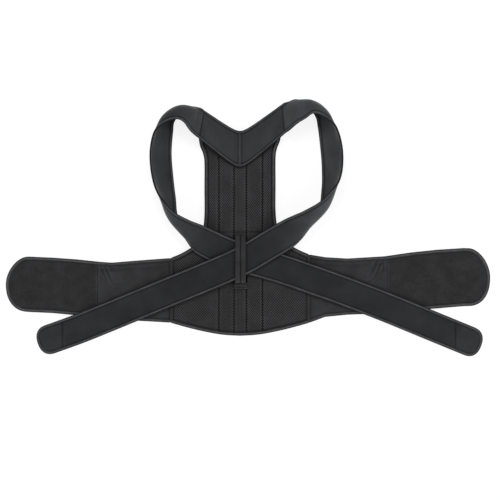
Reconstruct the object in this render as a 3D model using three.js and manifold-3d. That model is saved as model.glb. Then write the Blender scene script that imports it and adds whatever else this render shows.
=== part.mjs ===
// Posture corrector: a padded mesh back panel with a shoulder yoke, two shoulder straps that cross
// over the panel under a keeper, and a waist belt of elastic wings and fastening pads. It lies flat
// with its back up, the shoulder loops rolling over softly. Millimetres, +Z up, +X along the belt
// and +Y towards the shoulders. Y = 0 is the waist line and X = 0 the middle of the panel.
import * as THREE from 'three';
import { mergeVertices } from 'three/addons/utils/BufferGeometryUtils.js';
import Module from 'manifold-3d';

const wasm = await Module();
wasm.setup();

// Left between pieces that lie on each other or are sewn edge to edge
const CLEARANCE = 0.3;

// Back panel
const PANEL_THICKNESS = 6;
const PANEL_HALF_WIDTH = 70.5;
const LUMBAR_HALF_WIDTH = 140;
const CORNER_UNDERLAP = 8;
const NOTCH_UNDERLAP = 36;
const PANEL_DROP = 151;
const RIGHT_WAIST_TOP = 10;
const LEFT_WAIST_TOP = 3;
const RIM_WIDTH = 6;
const RIM_NOSE = 1.6;
const GROOVE_WIDTH = 3;
const GROOVE_DEPTH = 2.2;
const GROOVE_FLOOR = 0.3;
const GROOVE_END = 12;

// Edge binding of the panel, a tape folded over its thin rim
const TAPE_THICKNESS = 0.9;
const TAPE_UPPER_LEG = 3.5;
const TAPE_LOWER_LEG = 2.2;

// Shoulder straps and yoke
const STRAP_WIDTH = 58;
const STRAP_THICKNESS = 3;
const RIGHT_REACH = 184;
const RIGHT_RISE = 300;
const RIGHT_TAIL_REACH = 404;
const RIGHT_TAIL_DROP = 167;
const LEFT_REACH = 158;
const LEFT_RISE = 290;
const LEFT_TAIL_REACH = 482;
const LEFT_TAIL_DROP = 172;
const TIP_LENGTH = 52;
const TIP_ROUNDING = 26;
const TIP_SQUARENESS = 2.4;
const YOKE_SAG = 20;
const YOKE_DEPTH = 71;
const YOKE_ROUNDING = 13;
const YOKE_RIDGE = 0.7;
const YOKE_SEAM_GAP = 1.6;
const YOKE_GATHER = 1.3;

// Waist belt
const BELT_HEIGHT = 110;
const WING_THICKNESS = 2.6;
const PAD_THICKNESS = 3.2;
const WRINKLE = 0.3;
const LEFT_WING_LENGTH = 140;
const RIGHT_WING_LENGTH = 149;
const LEFT_PAD_LENGTH = 188;
const RIGHT_PAD_LENGTH = 211;
const PAD_ROUNDING = 42;

// Keeper that holds the straps at their crossing
const KEEPER_WIDTH = 21;
const KEEPER_THICKNESS = 2;
const KEEPER_RIB = 0.8;
const KEEPER_TOP = 50;
const KEEPER_BOTTOM = -43.5;
const KEEPER_LAP = 4;
const KEEPER_SLOPE = 7;
const KEEPER_DROP = 1.6;
const KEEPER_SHIFT = 1;
const FOOT_WIDTH = 27;
const FOOT_LENGTH = 12;
const FOOT_THICKNESS = 4;

// A rounded end stops at this share of its width, so that its last edge isn't a point
const END_WIDTH = 0.12;

// Faces along each row of the tables, and along and across the pieces of cloth
const EDGE_STEPS = 2;
const LOOP_STEPS = 4;
const TAIL_STEPS = 2;
const STRAP_COLUMNS = 6;
const TIP_STEPS = 7;
const YOKE_STEPS = 8;
const BELT_STEPS = 14;
const BELT_COLUMNS = 8;

// Heights of a strap's middle layer: on the table, on the belt, on the panel and over the other
// strap. A table row's level lies between these, 0 to 3.
const TAPE_TOP = panelRim(TAPE_UPPER_LEG) + CLEARANCE + TAPE_THICKNESS;
const REST = STRAP_THICKNESS / 2 + CLEARANCE;
const ON_TABLE = REST;
const ON_BELT = PAD_THICKNESS + WRINKLE + REST;
const ON_PANEL = Math.max(PANEL_THICKNESS, TAPE_TOP) + REST;
const ON_STRAP = ON_PANEL + STRAP_THICKNESS + CLEARANCE;

// Height of the panel's top face at a distance in from its edge
function panelRim(inward) {
  const edge = (PANEL_THICKNESS + RIM_NOSE) / 2;
  return edge + (PANEL_THICKNESS - edge) * Math.min(inward / RIM_WIDTH, 1);
}

const lerp = THREE.MathUtils.lerp;
const radians = THREE.MathUtils.degToRad;

// Values of a table at a place between its rows, along a smooth curve through them
function smoothRow(rows, place) {
  const last = rows.length - 1;
  const i = Math.min(Math.floor(place), last - 1);
  const f = place - i;
  return rows[0].map((_, column) => {
    const p1 = rows[i][column];
    const p2 = rows[i + 1][column];
    const p0 = i > 0 ? rows[i - 1][column] : 2 * p1 - p2;
    const p3 = i + 1 < last ? rows[i + 2][column] : 2 * p2 - p1;
    const bend = 2 * p0 - 5 * p1 + 4 * p2 - p3;
    const twist = 3 * p1 - p0 - 3 * p2 + p3;
    return (2 * p1 + (p2 - p0) * f + bend * f * f + twist * f * f * f) / 2;
  });
}

// Value of a column at a share of the way, straight between rows that start with that share
function straightValue(rows, share, column) {
  const i = Math.max(1, rows.findIndex((row) => row[0] >= share));
  const [before, after] = [rows[i - 1], rows[i]];
  return lerp(before[column], after[column], (share - before[0]) / (after[0] - before[0]));
}

// Closed solid from points and triangles, turned so that its faces point out
function closedGeometry(points, triangles) {
  let volume = 0;
  for (const [a, b, c] of triangles) {
    volume += points[a].dot(new THREE.Vector3().crossVectors(points[b], points[c]));
  }
  const facing = volume > 0 ? triangles : triangles.map(([a, b, c]) => [a, c, b]);
  const geometry = new THREE.BufferGeometry().setFromPoints(points);
  geometry.setIndex(facing.flat());
  geometry.computeVertexNormals();
  return geometry;
}

// Closed solid between an upper and a lower grid of points
function solidBetween(upper, lower) {
  const rows = upper.length;
  const columns = upper[0].length;
  const points = [...upper.flat(), ...lower.flat()];
  const top = (i, j) => i * columns + j;
  const bottom = (i, j) => (rows + i) * columns + j;
  const triangles = [];
  const quad = (a, b, c, d) => triangles.push([a, b, c], [a, c, d]);
  for (let i = 0; i < rows - 1; i += 1) {
    for (let j = 0; j < columns - 1; j += 1) {
      quad(top(i, j), top(i + 1, j), top(i + 1, j + 1), top(i, j + 1));
      quad(bottom(i, j), bottom(i, j + 1), bottom(i + 1, j + 1), bottom(i + 1, j));
    }
    quad(top(i, 0), bottom(i, 0), bottom(i + 1, 0), top(i + 1, 0));
    quad(top(i, columns - 1), top(i + 1, columns - 1), bottom(i + 1, columns - 1), bottom(i, columns - 1));
  }
  for (let j = 0; j < columns - 1; j += 1) {
    quad(top(0, j), top(0, j + 1), bottom(0, j + 1), bottom(0, j));
    quad(top(rows - 1, j), bottom(rows - 1, j), bottom(rows - 1, j + 1), top(rows - 1, j + 1));
  }
  return closedGeometry(points, triangles);
}

// Solid wall of even thickness round a grid of points of its middle layer. The extra height of a
// point is added on its upper side.
function wall(middle, thickness, extra = () => 0) {
  const rows = middle.length;
  const columns = middle[0].length;
  const normal = (i, j) => {
    const along = middle[Math.min(i + 1, rows - 1)][j].clone().sub(middle[Math.max(i - 1, 0)][j]);
    const across = middle[i][Math.min(j + 1, columns - 1)].clone().sub(middle[i][Math.max(j - 1, 0)]);
    return along.cross(across).normalize();
  };
  const turn = Math.sign(normal(0, 1).z) || 1;
  const offset = (distance) => middle.map((row, i) => row.map((point, j) => {
    const height = distance > 0 ? distance + extra(i, j) : distance;
    return point.clone().addScaledVector(normal(i, j), turn * height);
  }));
  return solidBetween(offset(thickness / 2), offset(-thickness / 2));
}

// Solid swept along plan stations, each a point and its inward direction. The section is a
// polygon of inward distance and height, counterclockwise.
function sweep(stations, section) {
  const count = section.length;
  const points = stations.flatMap(({ point, inward }) => section.map(([distance, height]) => {
    const place = point.clone().addScaledVector(inward, distance);
    return new THREE.Vector3(place.x, place.y, height);
  }));
  const triangles = [];
  for (let i = 0; i < stations.length - 1; i += 1) {
    for (let k = 0; k < count; k += 1) {
      const next = (k + 1) % count;
      const [a, b] = [i * count + k, i * count + next];
      triangles.push([a, b, b + count], [a, b + count, a + count]);
    }
  }
  const outline = section.map(([distance, height]) => new THREE.Vector2(distance, height));
  const end = (stations.length - 1) * count;
  for (const [a, b, c] of THREE.ShapeUtils.triangulateShape(outline, [])) {
    triangles.push([a, c, b], [end + a, end + b, end + c]);
  }
  return closedGeometry(points, triangles);
}

// Library solid of a geometry, for cutting
function librarySolid(geometry) {
  const bare = geometry.clone();
  bare.deleteAttribute('normal');
  bare.deleteAttribute('uv');
  const merged = mergeVertices(bare, 1e-4);
  const vertProperties = new Float32Array(merged.attributes.position.array);
  const triVerts = new Uint32Array(merged.index.array);
  return new wasm.Manifold(new wasm.Mesh({ numProp: 3, vertProperties, triVerts }));
}

function geometryOf(solid) {
  const { vertProperties, triVerts } = solid.getMesh();
  const geometry = new THREE.BufferGeometry();
  geometry.setAttribute('position', new THREE.BufferAttribute(vertProperties, 3));
  geometry.setIndex(new THREE.BufferAttribute(triVerts, 1));
  geometry.computeVertexNormals();
  return geometry;
}

// Side edge of the panel, from the yoke down to the belt. Columns: flare, a share of the way from
// the upper to the lumbar half width; level, a share of the way from the waist to the yoke.
const SIDE_ROWS = [
  [0.18, 1.0],
  [0.13, 0.91],
  [0.04, 0.845],
  [0.0, 0.77],
  [0.0, 0.56],
  [0.0, 0.35],
  [0.06, 0.21],
  [0.2, 0.126],
  [0.47, 0.07],
  [0.735, 0.03],
  [1.0, 0.0],
];

// Lower edge of the panel, from its middle to a side. Columns: share of the lumbar half width;
// share of the panel's drop.
const LOWER_ROWS = [
  [0.0, 1.0],
  [0.25, 0.985],
  [0.5, 0.945],
  [0.75, 0.89],
  [1.0, 0.825],
];
const LUMBAR_CORNER = -PANEL_DROP * LOWER_ROWS[LOWER_ROWS.length - 1][1];

function tablePath(rows, steps, place) {
  const count = (rows.length - 1) * steps;
  return Array.from({ length: count + 1 }, (_, i) => place(smoothRow(rows, i / steps)));
}

function sideEdge(waistTop, rows) {
  const corner = strapPoint(rows, 0, 0.5).y + CORNER_UNDERLAP;
  return tablePath(SIDE_ROWS, EDGE_STEPS, ([flare, level]) => new THREE.Vector2(
    lerp(PANEL_HALF_WIDTH, LUMBAR_HALF_WIDTH, flare), lerp(waistTop, corner, level)));
}

const rightEdge = () => sideEdge(RIGHT_WAIST_TOP, rightRows).reverse();
const leftEdge = () => sideEdge(LEFT_WAIST_TOP, leftRows).map(({ x, y }) => new THREE.Vector2(-x, y));

function lowerEdge() {
  return tablePath(LOWER_ROWS, EDGE_STEPS, ([across, drop]) => new THREE.Vector2(
    across * LUMBAR_HALF_WIDTH, -drop * PANEL_DROP));
}

// The whole lower edge from left to right
function wholeLowerEdge() {
  const half = lowerEdge();
  return [...half.slice(1).reverse().map(({ x, y }) => new THREE.Vector2(-x, y)), ...half];
}

// Stitched seams between the stay channels, as shares of the panel's half width
const CHANNEL_SEAMS = [-0.6, -0.17, 0.18, 0.64];

// Inward direction at each point of an outline, as long as a corner there needs
function inwardAt(points, i, closed) {
  const count = points.length;
  const neighbour = (step) => (closed ? points[(i + step + count) % count]
    : points[THREE.MathUtils.clamp(i + step, 0, count - 1)]);
  const [before, after] = [neighbour(-1), neighbour(1)];
  const across = (from, to) => new THREE.Vector2(from.y - to.y, to.x - from.x).normalize();
  const first = before === points[i] ? across(points[i], after) : across(before, points[i]);
  const second = after === points[i] ? first : across(points[i], after);
  return first.clone().add(second).divideScalar(1 + first.dot(second));
}

// The outline counterclockwise from the right corner of the belt's upper edge
function panelOutline() {
  const notch = new THREE.Vector2(0, yokePoint() + NOTCH_UNDERLAP);
  return [...rightEdge(), notch, ...leftEdge(), ...wholeLowerEdge()];
}

// Padded panel with a thin rim, its stay channels parted by stitched grooves
function spinePanel() {
  const outline = panelOutline();
  const edgeHeight = (PANEL_THICKNESS - RIM_NOSE) / 2;
  const rings = [
    [RIM_WIDTH, 0],
    [0, edgeHeight],
    [0, PANEL_THICKNESS - edgeHeight],
    [RIM_WIDTH, PANEL_THICKNESS],
  ];
  const ring = (inset) => outline.map((point, i) => (
    point.clone().addScaledVector(inwardAt(outline, i, true), inset)));
  const points = rings.flatMap(([inset, height]) => (
    ring(inset).map(({ x, y }) => new THREE.Vector3(x, y, height))));
  const count = outline.length;
  const triangles = [];
  for (let k = 0; k < rings.length - 1; k += 1) {
    for (let i = 0; i < count; i += 1) {
      const next = (i + 1) % count;
      const [a, b] = [k * count + i, k * count + next];
      triangles.push([a, b, b + count], [a, b + count, a + count]);
    }
  }
  const top = (rings.length - 1) * count;
  for (const [a, b, c] of THREE.ShapeUtils.triangulateShape(ring(RIM_WIDTH), [])) {
    triangles.push([a, c, b], [top + a, top + b, top + c]);
  }
  let solid = librarySolid(closedGeometry(points, triangles));
  for (const seam of CHANNEL_SEAMS) {
    const x = seam * PANEL_HALF_WIDTH;
    const ends = [yokePoint() + NOTCH_UNDERLAP - RIM_WIDTH, GROOVE_END - PANEL_DROP];
    const line = (width, height) => ends.map((y) => [-1, 1].map((edge) => (
      new THREE.Vector3(x + edge * width / 2, y, height))));
    const groove = solidBetween(line(GROOVE_WIDTH * 2, PANEL_THICKNESS + GROOVE_DEPTH),
      line(GROOVE_FLOOR, PANEL_THICKNESS - GROOVE_DEPTH));
    solid = solid.subtract(librarySolid(groove));
  }
  return geometryOf(solid);
}

// Shares of a side edge, from the yoke down, and of the lower edge where their tapes start and end
const SIDE_TAPE = [0.04, 0.96];
const LOWER_TAPE = [0.06, 0.94];

// Folded tape over the panel's rim along a run of its edge, from one share of it to another. The
// run goes counterclockwise round the panel.
function panelBinding(points, [from, to]) {
  const first = Math.round(from * (points.length - 1));
  const last = Math.round(to * (points.length - 1));
  const stations = points.slice(first, last + 1).map((point, k) => (
    { point, inward: inwardAt(points, first + k, false) }));
  const over = (inward, layer) => panelRim(inward) + CLEARANCE + layer;
  const under = (inward, layer) => PANEL_THICKNESS - over(inward, layer);
  const nose = CLEARANCE + TAPE_THICKNESS;
  return sweep(stations, [
    [TAPE_LOWER_LEG, under(TAPE_LOWER_LEG, TAPE_THICKNESS)],
    [TAPE_LOWER_LEG, under(TAPE_LOWER_LEG, 0)],
    [-CLEARANCE, under(0, 0)],
    [-CLEARANCE, over(0, 0)],
    [TAPE_UPPER_LEG, over(TAPE_UPPER_LEG, 0)],
    [TAPE_UPPER_LEG, over(TAPE_UPPER_LEG, TAPE_THICKNESS)],
    [-nose / 2, over(0, TAPE_THICKNESS)],
    [-nose, over(0, 0)],
    [-nose, under(0, 0)],
    [-nose / 2, under(0, TAPE_THICKNESS)],
  ]);
}

// Shoulder loops, a row for each section of the strap from the yoke round to the crossing.
// Columns: out, a share of the loop's reach to its side; up, a share of its rise above the waist;
// level of the edge that lies lower; yaw, the way from that edge to the free edge, 0 pointing out
// to the side; tilt of the free edge above the other; curl, how far the section is rolled.
const RIGHT_LOOP = [
  [0.478, 0.943, 2.0, -84, 6, 10],
  [0.565, 0.98, 2.0, -72, 24, 70],
  [0.66, 0.998, 1.9, -64, 42, 125],
  [0.763, 0.992, 1.2, -48, 54, 160],
  [0.875, 0.952, 0.4, -18, 56, 165],
  [0.945, 0.88, 0.1, -2, 48, 90],
  [0.99, 0.75, 0.0, 2, 43, 40],
  [1.0, 0.613, 0.0, 3, 46, 45],
  [0.972, 0.493, 0.2, 20, 52, 90],
  [0.88, 0.375, 0.8, 62, 58, 150],
  [0.718, 0.266, 2.0, 100, 40, 115],
  [0.535, 0.182, 2.7, 116, 16, 45],
  [0.326, 0.103, 3.0, 119, 0, 0],
];
const LEFT_LOOP = [
  [0.49, 0.936, 2.0, -80, 12, 20],
  [0.565, 0.972, 2.0, -68, 30, 75],
  [0.66, 0.994, 1.9, -60, 47, 125],
  [0.77, 0.99, 1.2, -48, 54, 160],
  [0.895, 0.948, 0.4, -18, 56, 165],
  [0.965, 0.876, 0.1, -2, 47, 90],
  [1.0, 0.741, 0.0, 0, 44, 40],
  [0.98, 0.586, 0.0, 2, 44, 40],
  [0.925, 0.448, 0.2, 12, 50, 80],
  [0.828, 0.322, 0.8, 50, 60, 140],
  [0.675, 0.217, 2.0, 96, 42, 120],
  [0.49, 0.14, 2.4, 114, 16, 50],
  [0.278, 0.08, 3.0, 113, 0, 0],
];

// Tails, from the crossing to the free tip at the other side. Columns: out, a share of the tail's
// reach; down, a share of its drop below the waist; level; yaw; tilt; curl.
const RIGHT_TAIL = [
  [0.0, 0.022, 3.0, 116, 0, 0],
  [0.198, 0.23, 3.0, 113, 0, 0],
  [0.36, 0.39, 2.1, 112, 0, 0],
  [0.5, 0.53, 1.1, 112, 0, 0],
  [0.66, 0.69, 1.0, 112, 0, 0],
  [0.81, 0.835, 1.0, 111, 0, 0],
  [1.0, 1.0, 0.0, 109, 0, 0],
];
const LEFT_TAIL = [
  [0.0, -0.035, 3.0, 108, 0, 0],
  [0.172, 0.105, 3.0, 107, 0, 0],
  [0.31, 0.238, 2.1, 109, 0, 0],
  [0.42, 0.348, 1.1, 110, 0, 0],
  [0.6, 0.54, 1.0, 111, 0, 0],
  [0.8, 0.77, 1.0, 112, 0, 0],
  [1.0, 1.0, 0.0, 111, 0, 0],
];

// A strap's rows in millimetres, for the strap whose loop is on the right. The other strap is its
// mirror image with sizes of its own. Its crossing lies on the panel, or on the other strap.
function strapRows(loop, tail, { reach, rise, tailReach, tailDrop, crossing }) {
  const heights = [ON_TABLE, ON_BELT, ON_PANEL, crossing];
  const heightAt = (level) => {
    const step = Math.min(Math.floor(level), 2);
    return lerp(heights[step], heights[step + 1], level - step);
  };
  return [
    ...loop.map(([out, up, level, ...turns]) => [out * reach, up * rise, heightAt(level), ...turns]),
    ...tail.map(([out, down, level, ...turns]) => (
      [-out * tailReach, -down * tailDrop, heightAt(level), ...turns])),
  ];
}

// Point of a strap's middle layer. The section is an arc of the strap's width whose chord leans
// from the low edge to the free edge; across runs from -0.5 at the low edge to 0.5.
function strapPoint(rows, place, across) {
  const row = smoothRow(rows, place);
  const [x, y, low] = row;
  const yaw = radians(row[3]);
  const tilt = radians(Math.max(row[4], 0));
  const curl = radians(Math.max(row[5], 1));
  const step = 0.01;
  const last = rows.length - 1;
  const ahead = smoothRow(rows, Math.min(place + step, last));
  const behind = smoothRow(rows, Math.max(place - step, 0));
  const travel = new THREE.Vector3(ahead[0] - behind[0], ahead[1] - behind[1], ahead[2] - behind[2]);
  const chord = new THREE.Vector3(Math.cos(tilt) * Math.cos(yaw), Math.cos(tilt) * Math.sin(yaw), Math.sin(tilt));
  const bulge = new THREE.Vector3().crossVectors(chord, travel).normalize();
  const radius = STRAP_WIDTH / curl;
  const chordLength = 2 * radius * Math.sin(curl / 2);
  const angle = curl * across;
  return new THREE.Vector3(x, y, low + chordLength / 2 * Math.sin(tilt))
    .addScaledVector(chord, radius * Math.sin(angle))
    .addScaledVector(bulge, radius * (Math.cos(angle) - Math.cos(curl / 2)));
}

// Places along a strap with the same number of steps in each row, and the tip's length in rows
function tipPlace(rows, length) {
  const last = rows.length - 1;
  const span = Math.hypot(rows[last][0] - rows[last - 1][0], rows[last][1] - rows[last - 1][1]);
  return last - length / span;
}

function strapGrid(rows, places, columns, widthAt, side) {
  return places.map((place) => Array.from({ length: columns + 1 }, (_, j) => {
    const point = strapPoint(rows, place, j / columns - 0.5);
    const middle = strapPoint(rows, place, 0);
    point.lerp(middle, 1 - widthAt(place));
    point.x *= side;
    return point;
  }));
}

function strapBody(rows, side) {
  const seam = tipPlace(rows, TIP_LENGTH);
  const rolled = rows.length - RIGHT_TAIL.length - 1;
  const places = [];
  for (let step = 0; step < rolled * LOOP_STEPS; step += 1) {
    places.push(step / LOOP_STEPS);
  }
  for (let place = rolled; place < seam - 1 / LOOP_STEPS; place += 1 / TAIL_STEPS) {
    places.push(place);
  }
  places.push(seam);
  return wall(strapGrid(rows, places, STRAP_COLUMNS, () => 1, side), STRAP_THICKNESS);
}

// Rounded end of a strap, beyond the seam of its fastening patch
function strapTip(rows, side) {
  const last = rows.length - 1;
  const seam = tipPlace(rows, TIP_LENGTH - CLEARANCE);
  const bend = tipPlace(rows, TIP_ROUNDING);
  const places = [seam];
  for (let i = 0; i <= TIP_STEPS; i += 1) {
    places.push(bend + (last - bend) * Math.sin(Math.PI / 2 * i / TIP_STEPS));
  }
  const widthAt = (place) => {
    const share = Math.max(0, (place - bend) / (last - bend));
    return Math.max(END_WIDTH, (1 - share ** TIP_SQUARENESS) ** (1 / TIP_SQUARENESS));
  };
  return wall(strapGrid(rows, places, STRAP_COLUMNS, widthAt, side), STRAP_THICKNESS);
}

// Height of the yoke's notch and of its point below, both rounded, at the middle
function yokeNotch() {
  return (strapPoint(rightRows, 0, 0).y + strapPoint(leftRows, 0, 0).y) / 2 - YOKE_SAG;
}

function yokePoint() {
  return yokeNotch() - YOKE_DEPTH;
}

// Half of the yoke, a ruled cloth from the seam at the middle to the strap's first section. Its
// notch and its point are rounded, and it is thicker along the seam.
function yokeHalf(rows, side) {
  const round = YOKE_ROUNDING / strapPoint(rows, 0, 0).x;
  const soft = (share) => (Math.hypot(share, round) - round) / (Math.hypot(1, round) - round);
  const face = (heightOf) => Array.from({ length: YOKE_STEPS + 1 }, (_, i) => (
    Array.from({ length: STRAP_COLUMNS + 1 }, (__, j) => {
      const across = j / STRAP_COLUMNS;
      const end = strapPoint(rows, 0, across - 0.5);
      const share = (i / YOKE_STEPS) ** YOKE_GATHER;
      const x = lerp(CLEARANCE / 2, end.x - YOKE_SEAM_GAP, share);
      const y = lerp(lerp(yokeNotch(), yokePoint(), across), end.y, soft(share));
      return new THREE.Vector3(side * x, y, lerp(ON_PANEL, end.z, share) + heightOf(i));
    })));
  return solidBetween(face((i) => STRAP_THICKNESS / 2 + (i < 2 ? YOKE_RIDGE : 0)),
    face(() => -STRAP_THICKNESS / 2));
}

// Upper and lower edges of the wings and pads. Columns: along, a share of the piece's length from
// the panel outwards; upper edge; lower edge, both shares of the belt's height from the waist.
const LEFT_WING = [
  [0.0, LEFT_WAIST_TOP / BELT_HEIGHT, LUMBAR_CORNER / BELT_HEIGHT],
  [0.45, -0.015, -1.1],
  [0.83, -0.055, -1.055],
  [1.0, -0.04, -1.04],
];
const RIGHT_WING = [
  [0.0, RIGHT_WAIST_TOP / BELT_HEIGHT, LUMBAR_CORNER / BELT_HEIGHT],
  [0.2, 0.045, -1.03],
  [0.5, 0.02, -0.99],
  [1.0, 0.06, -0.965],
];
const LEFT_PAD = [
  [0.0, -0.04, -1.04],
  [0.25, 0.005, -1.0],
  [0.5, 0.035, -0.96],
  [0.75, 0.055, -0.94],
  [1.0, 0.04, -0.91],
];
const RIGHT_PAD = [
  [0.0, 0.06, -0.965],
  [0.25, 0.13, -0.91],
  [0.5, 0.18, -0.875],
  [0.75, 0.21, -0.835],
  [1.0, 0.2, -0.82],
];

// How square a pad's corners are: 2 is an ellipse
const CORNER_SHAPE = { upper: 1.8, lower: 2.3 };

// Cloth of the belt between two edges, rounded at its free end over the given length
function beltCloth({ rows, start, length, side, thickness, rounding, wrinkle }) {
  const shares = Array.from({ length: BELT_STEPS + 1 }, (_, i) => {
    const even = i / BELT_STEPS;
    return rounding > 0 ? Math.sin(Math.PI / 2 * even) : even;
  });
  const bend = 1 - rounding / length;
  const column = Array.from({ length: BELT_COLUMNS + 1 }, (_, j) => j / BELT_COLUMNS);
  const grid = (heightOf) => shares.map((share) => column.map((down) => {
    const upper = straightValue(rows, share, 1) * BELT_HEIGHT;
    const lower = straightValue(rows, share, 2) * BELT_HEIGHT;
    const cap = share > bend ? (share - bend) / (1 - bend) : 0;
    const place = 0.5 - down;
    const round = place > 0 ? CORNER_SHAPE.upper : CORNER_SHAPE.lower;
    const height = Math.max(END_WIDTH, (1 - cap ** round) ** (1 / round));
    const y = (upper + lower) / 2 + (upper - lower) * height * place;
    return new THREE.Vector3(side * (start + share * length), y, heightOf(share, down));
  }));
  return solidBetween(grid((share, down) => thickness + WRINKLE * wrinkle(share, down)), grid(() => 0));
}

// Short slanting wrinkles, strongest near the pad and the upper edge, from -1 to 1
const WING_WAVES = { along: 7, down: 3 };
const wingWrinkle = (share, down) => (
  Math.sin(2 * Math.PI * (share * WING_WAVES.along + down * WING_WAVES.down))
  * share * (1 - down) ** 2);

// Soft dents all over the pad, from -1 to 1
const PAD_WAVES = { along: 3.2, down: 1.7 };
const padWrinkle = (share, down) => (
  Math.sin(2 * Math.PI * share * PAD_WAVES.along)
  * Math.sin(2 * Math.PI * (share + down * PAD_WAVES.down)));

function wing(rows, length, side) {
  return beltCloth({ rows, start: LUMBAR_HALF_WIDTH + CLEARANCE, length: length - CLEARANCE, side,
    thickness: WING_THICKNESS, rounding: 0, wrinkle: wingWrinkle });
}

function pad(rows, wingLength, length, side) {
  return beltCloth({ rows, start: LUMBAR_HALF_WIDTH + wingLength + CLEARANCE, length: length - CLEARANCE,
    side, thickness: PAD_THICKNESS, rounding: PAD_ROUNDING, wrinkle: padWrinkle });
}

// Section of the keeper. Columns: across, a share of its width; raised, a share of the rib's height
const KEEPER_SECTION = [
  [-0.5, 0],
  [-0.46, 1],
  [-0.1, 1],
  [-0.04, 0],
  [0.04, 0],
  [0.1, 1],
  [0.46, 1],
  [0.5, 0],
];

// Webbing of the keeper, up from the panel, over both straps and down to its foot, with a raised
// rib along each edge
function keeperLoop() {
  const low = ON_PANEL - REST + CLEARANCE + KEEPER_THICKNESS / 2;
  const high = ON_STRAP + REST + KEEPER_THICKNESS / 2;
  const route = [
    [KEEPER_TOP, low],
    [KEEPER_TOP - KEEPER_LAP, low],
    [KEEPER_TOP - KEEPER_LAP - KEEPER_SLOPE / 2, (low + high) / 2],
    [KEEPER_TOP - KEEPER_LAP - KEEPER_SLOPE, high],
    [(KEEPER_TOP + KEEPER_BOTTOM) / 2, high + CLEARANCE],
    [KEEPER_BOTTOM + KEEPER_DROP, high],
    [KEEPER_BOTTOM, (low + high) / 2],
    [KEEPER_BOTTOM, low],
  ];
  const middle = route.map(([y, z]) => KEEPER_SECTION.map(([across]) => (
    new THREE.Vector3(KEEPER_SHIFT + across * KEEPER_WIDTH, y, z))));
  return wall(middle, KEEPER_THICKNESS, (i, j) => KEEPER_RIB * KEEPER_SECTION[j][1]);
}

// Folded and stitched end of the keeper
function keeperFoot() {
  const foot = new THREE.BoxGeometry(FOOT_WIDTH, FOOT_LENGTH, FOOT_THICKNESS);
  const base = ON_PANEL - REST + CLEARANCE;
  const end = KEEPER_BOTTOM - KEEPER_THICKNESS / 2 - KEEPER_RIB - CLEARANCE;
  return foot.translate(KEEPER_SHIFT, end - FOOT_LENGTH / 2, base + FOOT_THICKNESS / 2);
}

function cloth(color, roughness) {
  return new THREE.MeshStandardMaterial({ color, roughness, metalness: 0 });
}

const group = new THREE.Group();

function add(name, geometry, material) {
  const mesh = new THREE.Mesh(geometry, material);
  mesh.name = name;
  group.add(mesh);
}

const rightRows = strapRows(RIGHT_LOOP, RIGHT_TAIL, {
  reach: RIGHT_REACH,
  rise: RIGHT_RISE,
  tailReach: RIGHT_TAIL_REACH,
  tailDrop: RIGHT_TAIL_DROP,
  crossing: ON_STRAP,
});
const leftRows = strapRows(LEFT_LOOP, LEFT_TAIL, {
  reach: LEFT_REACH,
  rise: LEFT_RISE,
  tailReach: LEFT_TAIL_REACH,
  tailDrop: LEFT_TAIL_DROP,
  crossing: ON_PANEL,
});

add('spine_panel', spinePanel(), cloth(0x2b2c30, 0.95));
add('binding_right', panelBinding(rightEdge(), SIDE_TAPE), cloth(0x3c3e44, 0.85));
add('binding_left', panelBinding(leftEdge(), SIDE_TAPE), cloth(0x3c3e44, 0.85));
add('binding_bottom', panelBinding(wholeLowerEdge(), LOWER_TAPE), cloth(0x3c3e44, 0.85));
add('yoke_right', yokeHalf(rightRows, 1), cloth(0x34363c, 0.9));
add('yoke_left', yokeHalf(leftRows, -1), cloth(0x34363c, 0.9));
add('strap_right', strapBody(rightRows, 1), cloth(0x34363c, 0.9));
add('strap_left', strapBody(leftRows, -1), cloth(0x34363c, 0.9));
add('strap_right_tip', strapTip(rightRows, 1), cloth(0x303238, 0.95));
add('strap_left_tip', strapTip(leftRows, -1), cloth(0x303238, 0.95));
add('wing_right', wing(RIGHT_WING, RIGHT_WING_LENGTH, 1), cloth(0x2f3035, 0.9));
add('wing_left', wing(LEFT_WING, LEFT_WING_LENGTH, -1), cloth(0x2f3035, 0.9));
add('pad_right', pad(RIGHT_PAD, RIGHT_WING_LENGTH, RIGHT_PAD_LENGTH, 1), cloth(0x383a40, 1));
add('pad_left', pad(LEFT_PAD, LEFT_WING_LENGTH, LEFT_PAD_LENGTH, -1), cloth(0x383a40, 1));
add('keeper_loop', keeperLoop(), cloth(0x3a3c42, 0.85));
add('keeper_foot', keeperFoot(), cloth(0x26272b, 0.85));

// The origin lies on the table under the middle of the whole
const box = new THREE.Box3().setFromObject(group);
const middle = box.getCenter(new THREE.Vector3());
group.position.set(-middle.x, -middle.y, -box.min.z);

export default group;
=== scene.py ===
"""Posture corrector laid flat with its back up: a padded mesh back panel, a shoulder yoke, two
crossing shoulder straps under a keeper, and a waist belt of stretch wings and fastening pads."""

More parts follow.
